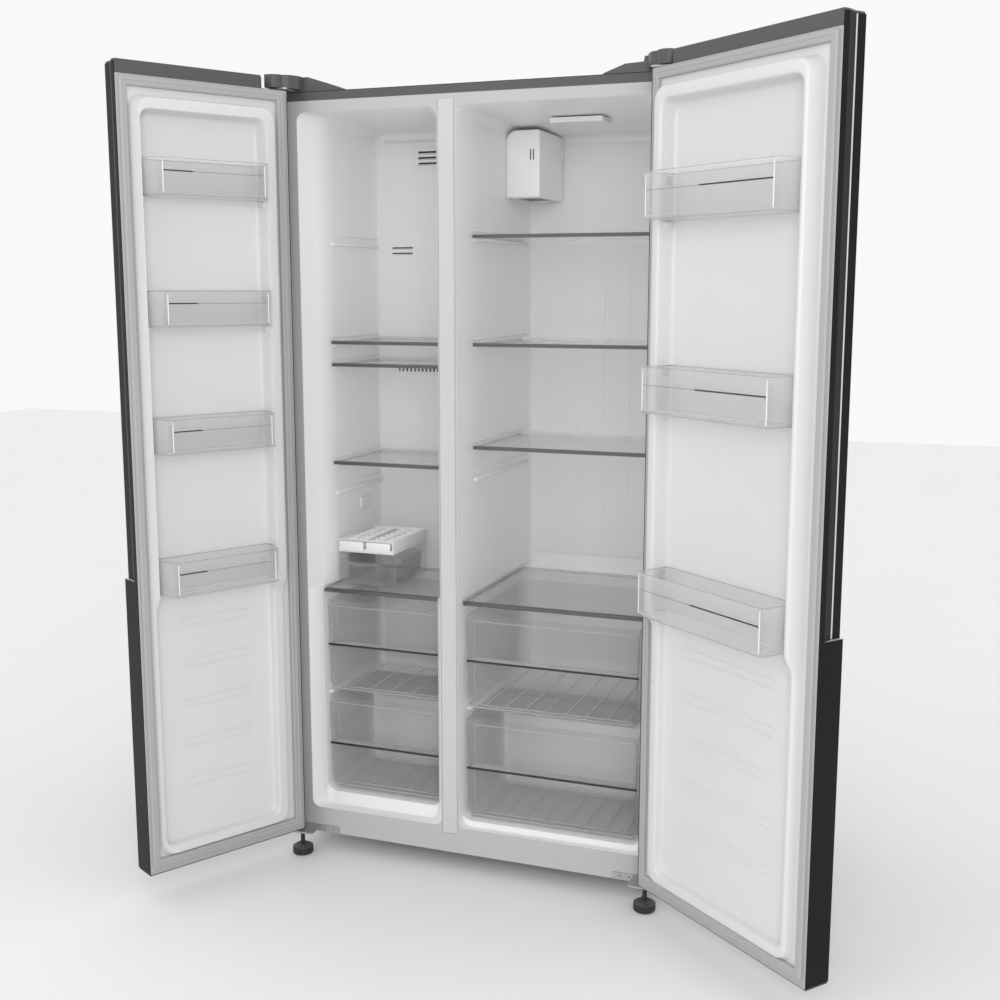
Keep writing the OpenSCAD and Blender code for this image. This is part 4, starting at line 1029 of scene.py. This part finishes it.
def makeTray(centre):
    shape = newShape()
    half, wall, axis = iceTray["halfWide"], iceTray["wall"], ice["axisZ"]
    top = axis + iceTray["halfHigh"]
    long0, long1 = iceY[0] + 18, iceY[1] - 10
    pitch = (long1 - long0 - 2 * wall) / iceTray["rows"]
    # cups hanging in a rim, each one tapered and round-bottomed
    for side in (0, 1):
        for row in range(iceTray["rows"]):
            cell = (centre - half + wall / 2 + side * (half - wall / 2), long0 + wall + row * pitch,
                    centre + side * (half - wall / 2), long0 + wall + (row + 1) * pitch)
            addLoops(shape, cupLoops(*cell, iceTray["cup"], 0.9) + cupLoops(*cell, iceTray["under"], 1))
    for low, high in (((centre - half, long0 - 1), (centre + half, long0 + wall)),
                      ((centre - half, long1 - wall), (centre + half, long1 + 1)),
                      ((centre - half - 0.4, long0), (centre - half + 1.2, long1)),
                      ((centre + half - 1.2, long0), (centre + half + 0.4, long1))):
        addBlock(shape, (*low, top - 5), (*high, top), 0.6, 0.8)
    for low, high in ((long0 - 1, long0 + 1.5), (long1 - 1.5, long1 + 1)):
        addBlock(shape, (centre - 8, low, axis - 6), (centre + 8, high, top - 3), 0.6, 0.8)
    addRod(shape, (centre, iceY[0] + 5, axis), (centre, long0, axis), 4)
    addRod(shape, (centre, long1, axis), (centre, iceY[1] - 0.3, axis), 4)
    # knob: a broad plate with a raised grip bar
    knob = iceY[0]
    addBlock(shape, (centre - 31, knob + 2.5, axis - 11), (centre + 31, knob + 8, axis + 11), 1.2, 4, 0, 1, 4)
    addBlock(shape, (centre - 26, knob, axis - 3.4), (centre + 26, knob + 4, axis + 3.0), 1.0, 2.4, 0, 1, 4)
    return shape


axisX = (sum(iceX) / 2 - ice["pitch"] / 2, sum(iceX) / 2 + ice["pitch"] / 2)
for side, centre in zip(("left", "right"), axisX):
    finishPiece(f"iceTray{side.capitalize()}", makeTray(centre), [look["white"]], f"ice_tray_{side}_body",
                replaces=[f"ice_tray_{side}"], sharp=40)

# height, inset and corner radius, up the outside of the box and down its inside
iceBox = ((629.5, 8, 6), (630.6, 5, 7), (633, 4, 8), (660, 2, 8), (685, 0.4, 8), (686, 0, 8), (688, 0.4, 8),
          (688, 1.8, 7), (685, 2.4, 7), (660, 4, 7), (636, 6, 6), (632, 9, 5))


def makeIceBox():
    x0, x1, y0, y1 = iceX[0] + 6, iceX[1] - 6, iceY[0] + 2, iceY[1] - 4
    shape = newShape()
    loops = []
    for z, inset, radius in iceBox:
        ring = roundedLoop(x0 + inset, y0 + inset, x1 - inset, y1 - inset, radius, 4)
        loops.append([(x, y, z) for x, y in ring])
    addLoops(shape, loops)
    addBlock(shape, (x0 + 20, y0 - 1.6, 678), (x1 - 20, y0 + 1, 684), 0.8, 1.5, 1, 1, 3)
    return shape


finishPiece("iceBox", makeIceBox(), [look["drawer"], look["clear"]], "ice_box_body", replaces=["ice_box"])
print("ice maker made")

# dark slots in the duct cover, each a dark block for the painted shade behind it, with leaning blades: half
# width, low and high ends of each slot
vents = {"slots": ((32, 1606, 1652), (104, 1396, 1427), (90, 1116, 1132)), "topBlades": (1616, 1629, 1642),
         "sideBlades": (1405, 1418), "sideOut": 71, "frame": (34, 1602, 1655.4), "line": 1.4}
ductMid = sum(cabinet["freezerUp"]) / 2
ductBack = cabinet["freezerBack"] - 4


def makeVents():
    shape = newShape()
    for half, low, high in vents["slots"]:
        addBlock(shape, (ductMid - half, ductBack + 0.4, low), (ductMid + half, ductBack + 2.4, high), 0.4, 2)
    for z in vents["topBlades"]:
        blade = [(ductBack - 5.2, z - 3.6), (ductBack - 4.2, z - 4.2), (ductBack + 0.2, z - 0.4),
                 (ductBack - 0.8, z + 0.2)]
        addPrism(shape, blade, 0, ductMid - 26.5, ductMid + 26.5, 1)
    for side in (-1, 1):
        for z in vents["sideBlades"]:
            blade = [(ductBack - 5, z - 2.8), (ductBack - 4.2, z - 3.2), (ductBack - 0.2, z - 0.2),
                     (ductBack - 1, z + 0.2)]
            middle = ductMid + side * vents["sideOut"]
            addPrism(shape, blade, 0, middle - 27.5, middle + 27.5, 1)
    # a thin ridge round the top group
    (half, low, high), line = vents["frame"], vents["line"]
    for (x0, z0), (x1, z1) in (((-half, low), (half, low + line)), ((-half, high - line), (half, high)),
                               ((-half, low + 1.6), (line - half, high - 1.6)),
                               ((half - line, low + 1.6), (half, high - 1.6))):
        addBlock(shape, (ductMid + x0, ductBack - 5.2, z0), (ductMid + x1, ductBack - 4.0, z1), 0.3, 0.4, 1)
    return shape


finishPiece("ductVents", makeVents(), [look["dark"], look["duct"]], "cabinet", sharp=30)

# air housing at the top left of the fridge, its upper left corner rounded into the wall
housing = {"x": (-25.6, 56), "y": (296, 468.4), "z": (1529, 1681.2), "corners": (4, 7, 24, 5),
           "slots": (32.5, 39.5), "slotZ": (1613, 1638)}


def makeHousing():
    (x0, x1), (y0, y1), (z0, z1) = housing["x"], housing["y"], housing["z"]
    shape = newShape()
    loops = []
    for depth, inset in ((0, 5.0), (0.4, 3.2), (1.5, 1.5), (3.2, 0.4), (5.0, 0), (y1 - y0, 0)):
        radii = tuple(max(1, corner - inset * 0.6) for corner in housing["corners"])
        ring = roundedLoop(x0 + inset * 0.2, z0 + inset, x1 - inset, z1 - inset, radii, 6)
        loops.append([(x, y0 + depth, z) for x, z in ring])
    addLoops(shape, loops)
    # the slots are dark blocks on the face: painted shade in the openings
    for x in housing["slots"]:
        low, high = housing["slotZ"]
        addBlock(shape, (x, y0 - 0.15, low), (x + 2.6, y0 + 1, high), 0.1, 0.8, 1, 1)
    addBlock(shape, (x0 + 18, 330, z0 - 0.4), (x1 - 12, 420, z0 + 1), 0.2, 5, 2)
    return shape


finishPiece("damperHousing", makeHousing(), [look["housing"], look["dark"], look["seam"]], "cabinet",
            replaces=["damper_housing"], sharp=40)

# pressed beads in the back panel
beads = {"heights": (420, 720, 1020, 1320, 1620), "halfLong": 380, "halfHigh": 9, "uprights": (-410, 410),
         "ends": (330, 1715)}
shape = newShape()
start = cabinet["depth"] - 0.3
for z in beads["heights"]:
    addBlock(shape, (-beads["halfLong"], start, z - beads["halfHigh"]),
             (beads["halfLong"], cabinet["depth"] + 1.0, z + beads["halfHigh"]), 0.9, 8.9, 0, 1, 6)
for x in beads["uprights"]:
    addBlock(shape, (x - 6, start, beads["ends"][0]), (x + 6, cabinet["depth"] + 0.8, beads["ends"][1]),
             0.8, 5.9, 0, 1, 6)
finishPiece("backBeads", shape, [look["backSteel"]], "cabinet", sharp=40)

# lines along the mullion strip, under it, and under the top band
seams = {"mullion": (-70.2, -33.8), "bottom": 88.1, "top": 1715, "band": 1725.4, "half": 0.35, "front": -0.12}
shape = newShape()
left, right, front = *seams["mullion"], seams["front"]
for x in (left, right):
    addBlock(shape, (x - seams["half"], front, 90), (x + seams["half"], 1.0, seams["top"]), 0.1, 0.1)
addBlock(shape, (left, front, seams["bottom"]), (right, 1.0, seams["bottom"] + 0.8), 0.1, 0.1)
addBlock(shape, (-445.5, front, seams["band"]), (445.5, 1.0, seams["band"] + 0.9), 0.1, 0.1)
finishPiece("frameSeams", shape, [look["seam"]], "cabinet", sharp=30)


# screw heads with a cross recess, one tree for every screw
def screwTree():
    tree = bpy.data.node_groups.new("screwHeads", "GeometryNodeTree")
    gin, gout = treeInputs(tree, ("Columns", "NodeSocketInt", 2), ("Spacing", "NodeSocketFloat", 0.026),
                           ("Radius", "NodeSocketFloat", 0.0035), ("Height", "NodeSocketFloat", 0.002))
    new = tree.nodes.new
    step, line = new("ShaderNodeCombineXYZ"), new("GeometryNodeMeshLine")
    head = new("GeometryNodeMeshCone")
    head.inputs["Vertices"].default_value = 20
    top = mathNode(tree, "MULTIPLY", 0, 0.72)
    slot = new("GeometryNodeMeshCube")
    slotSize = new("ShaderNodeCombineXYZ")
    long = mathNode(tree, "MULTIPLY", 0, 1.1)
    thin = mathNode(tree, "MULTIPLY", 0, 0.26)
    lift = new("GeometryNodeTransform")
    turned = new("GeometryNodeTransform")
    turned.inputs["Rotation"].default_value = (0, 0, math.pi / 2)
    liftBy = new("ShaderNodeCombineXYZ")
    cut = new("GeometryNodeMeshBoolean")
    cut.operation = "DIFFERENCE"
    place = new("GeometryNodeInstanceOnPoints")
    realize, setMaterial = new("GeometryNodeRealizeInstances"), new("GeometryNodeSetMaterial")
    connect(tree, (gin.outputs["Spacing"], step.inputs["X"]), (step.outputs[0], line.inputs["Offset"]),
            (gin.outputs["Columns"], line.inputs["Count"]),
            (gin.outputs["Radius"], head.inputs["Radius Bottom"]),
            (gin.outputs["Radius"], top.inputs[0]), (top.outputs[0], head.inputs["Radius Top"]),
            (gin.outputs["Height"], head.inputs["Depth"]), (gin.outputs["Radius"], long.inputs[0]),
            (gin.outputs["Radius"], thin.inputs[0]), (long.outputs[0], slotSize.inputs["X"]),
            (thin.outputs[0], slotSize.inputs["Y"]), (gin.outputs["Height"], slotSize.inputs["Z"]),
            (slotSize.outputs[0], slot.inputs["Size"]), (gin.outputs["Height"], liftBy.inputs["Z"]),
            (liftBy.outputs[0], lift.inputs["Translation"]), (slot.outputs["Mesh"], lift.inputs["Geometry"]),
            (lift.outputs["Geometry"], turned.inputs["Geometry"]),
            (head.outputs["Mesh"], cut.inputs["Mesh 1"]),
            (lift.outputs["Geometry"], cut.inputs["Mesh 2"]),
            (turned.outputs["Geometry"], cut.inputs["Mesh 2"]),
            (line.outputs["Mesh"], place.inputs["Points"]), (cut.outputs["Mesh"], place.inputs["Instance"]),
            (place.outputs["Instances"], realize.inputs["Geometry"]),
            (realize.outputs["Geometry"], setMaterial.inputs["Geometry"]),
            (gin.outputs["Material"], setMaterial.inputs["Material"]),
            (setMaterial.outputs["Geometry"], gout.inputs["Geometry"]))
    return tree


screwMaker = screwTree()
screwPoints, screwFaces = bakeTree(screwMaker, Columns=1, Spacing=0.02, Radius=0.0036, Height=0.0019,
                                   Material=look["zinc"])
backY = cabinet["depth"] - 0.1
# place and facing of each screw
screws = [(side * 422, y, 1748.3, "up") for side in (-1, 1) for y in (22, 48)]
screws += [(side * x, -3.4, 52, "front") for side in (-1, 1) for x in (352, 372)]
screws += [(x, backY, z, "back") for x in (-435, -300, -150, 0, 150, 300, 435) for z in (54, 294, 1736)]
screws += [(x, backY, z, "back") for x in (-435, 435) for z in (420, 700, 980, 1260, 1540)]
shape = newShape()
for x, y, z, facing in screws:
    if facing == "up":
        points = [(x + a, y + b, z + c) for a, b, c in screwPoints]
    elif facing == "front":
        points = [(x + a, y - c, z + b) for a, b, c in screwPoints]
    else:
        points = [(x + a, y + c, z + b) for a, b, c in screwPoints]
    addMesh(shape, points, screwFaces)
finishPiece("screws", shape, [look["zinc"]], "cabinet", sharp=30)
print("small parts made")

world = bpy.data.worlds.new("studio") if not bpy.context.scene.world else bpy.context.scene.world
bpy.context.scene.world = world
world.use_nodes = True
world.node_tree.nodes["Background"].inputs["Color"].default_value = gray(1.0)
world.node_tree.nodes["Background"].inputs["Strength"].default_value = 0.95

# a square floor in metres, a little under the feet
floorMesh = bpy.data.meshes.new("floor")
reach, sink = 9, -0.0005
corners = [(-reach, -reach, sink), (reach, -reach, sink), (reach, reach, sink), (-reach, reach, sink)]
floorMesh.from_pydata(corners, [], [(0, 1, 2, 3)])
floor = bpy.data.objects.new("floor", floorMesh)
bpy.context.scene.collection.objects.link(floor)
floorMesh.materials.append(plastic("paleFloor", gray(0.9), roughness=0.6, skin=200.0, bump=0.02, spread=0.01))

camera = {"x": 1053.4, "y": -2611.5, "z": 1324.7, "turn": 20.626, "down": 9.257, "lens": 46.99}
lights = [
    {"name": "keyLight", "at": (1.15, -3.2, 1.8), "to": (-0.15, 0.2, 1.0), "size": 1.3, "power": 29},
    {"name": "fillLight", "at": (-1.6, -3.2, 2.2), "to": (0.1, 0.2, 0.9), "size": 1.6, "power": 5},
]


def aim(thing, target):
    thing.rotation_euler = (Vector(target) - thing.location).to_track_quat("-Z", "Y").to_euler()


for spec in lights:
    data = bpy.data.lights.new(spec["name"], "AREA")
    data.shape = "SQUARE"
    data.size = spec["size"]
    data.energy = spec["power"]
    lamp = bpy.data.objects.new(spec["name"], data)
    lamp.location = spec["at"]
    bpy.context.scene.collection.objects.link(lamp)
    aim(lamp, spec["to"])

cameraData = bpy.data.cameras.new("camera")
cameraData.lens = camera["lens"]
cameraData.sensor_width = 36
cameraData.clip_start = 0.05
view = bpy.data.objects.new("camera", cameraData)
view.location = atFace(camera["x"], camera["y"], camera["z"])
view.rotation_euler = (math.radians(90 - camera["down"]), 0, math.radians(camera["turn"]))
bpy.context.scene.collection.objects.link(view)
bpy.context.scene.camera = view
bpy.context.scene.view_settings.view_transform = "Standard"
print("floor, lights and camera set")
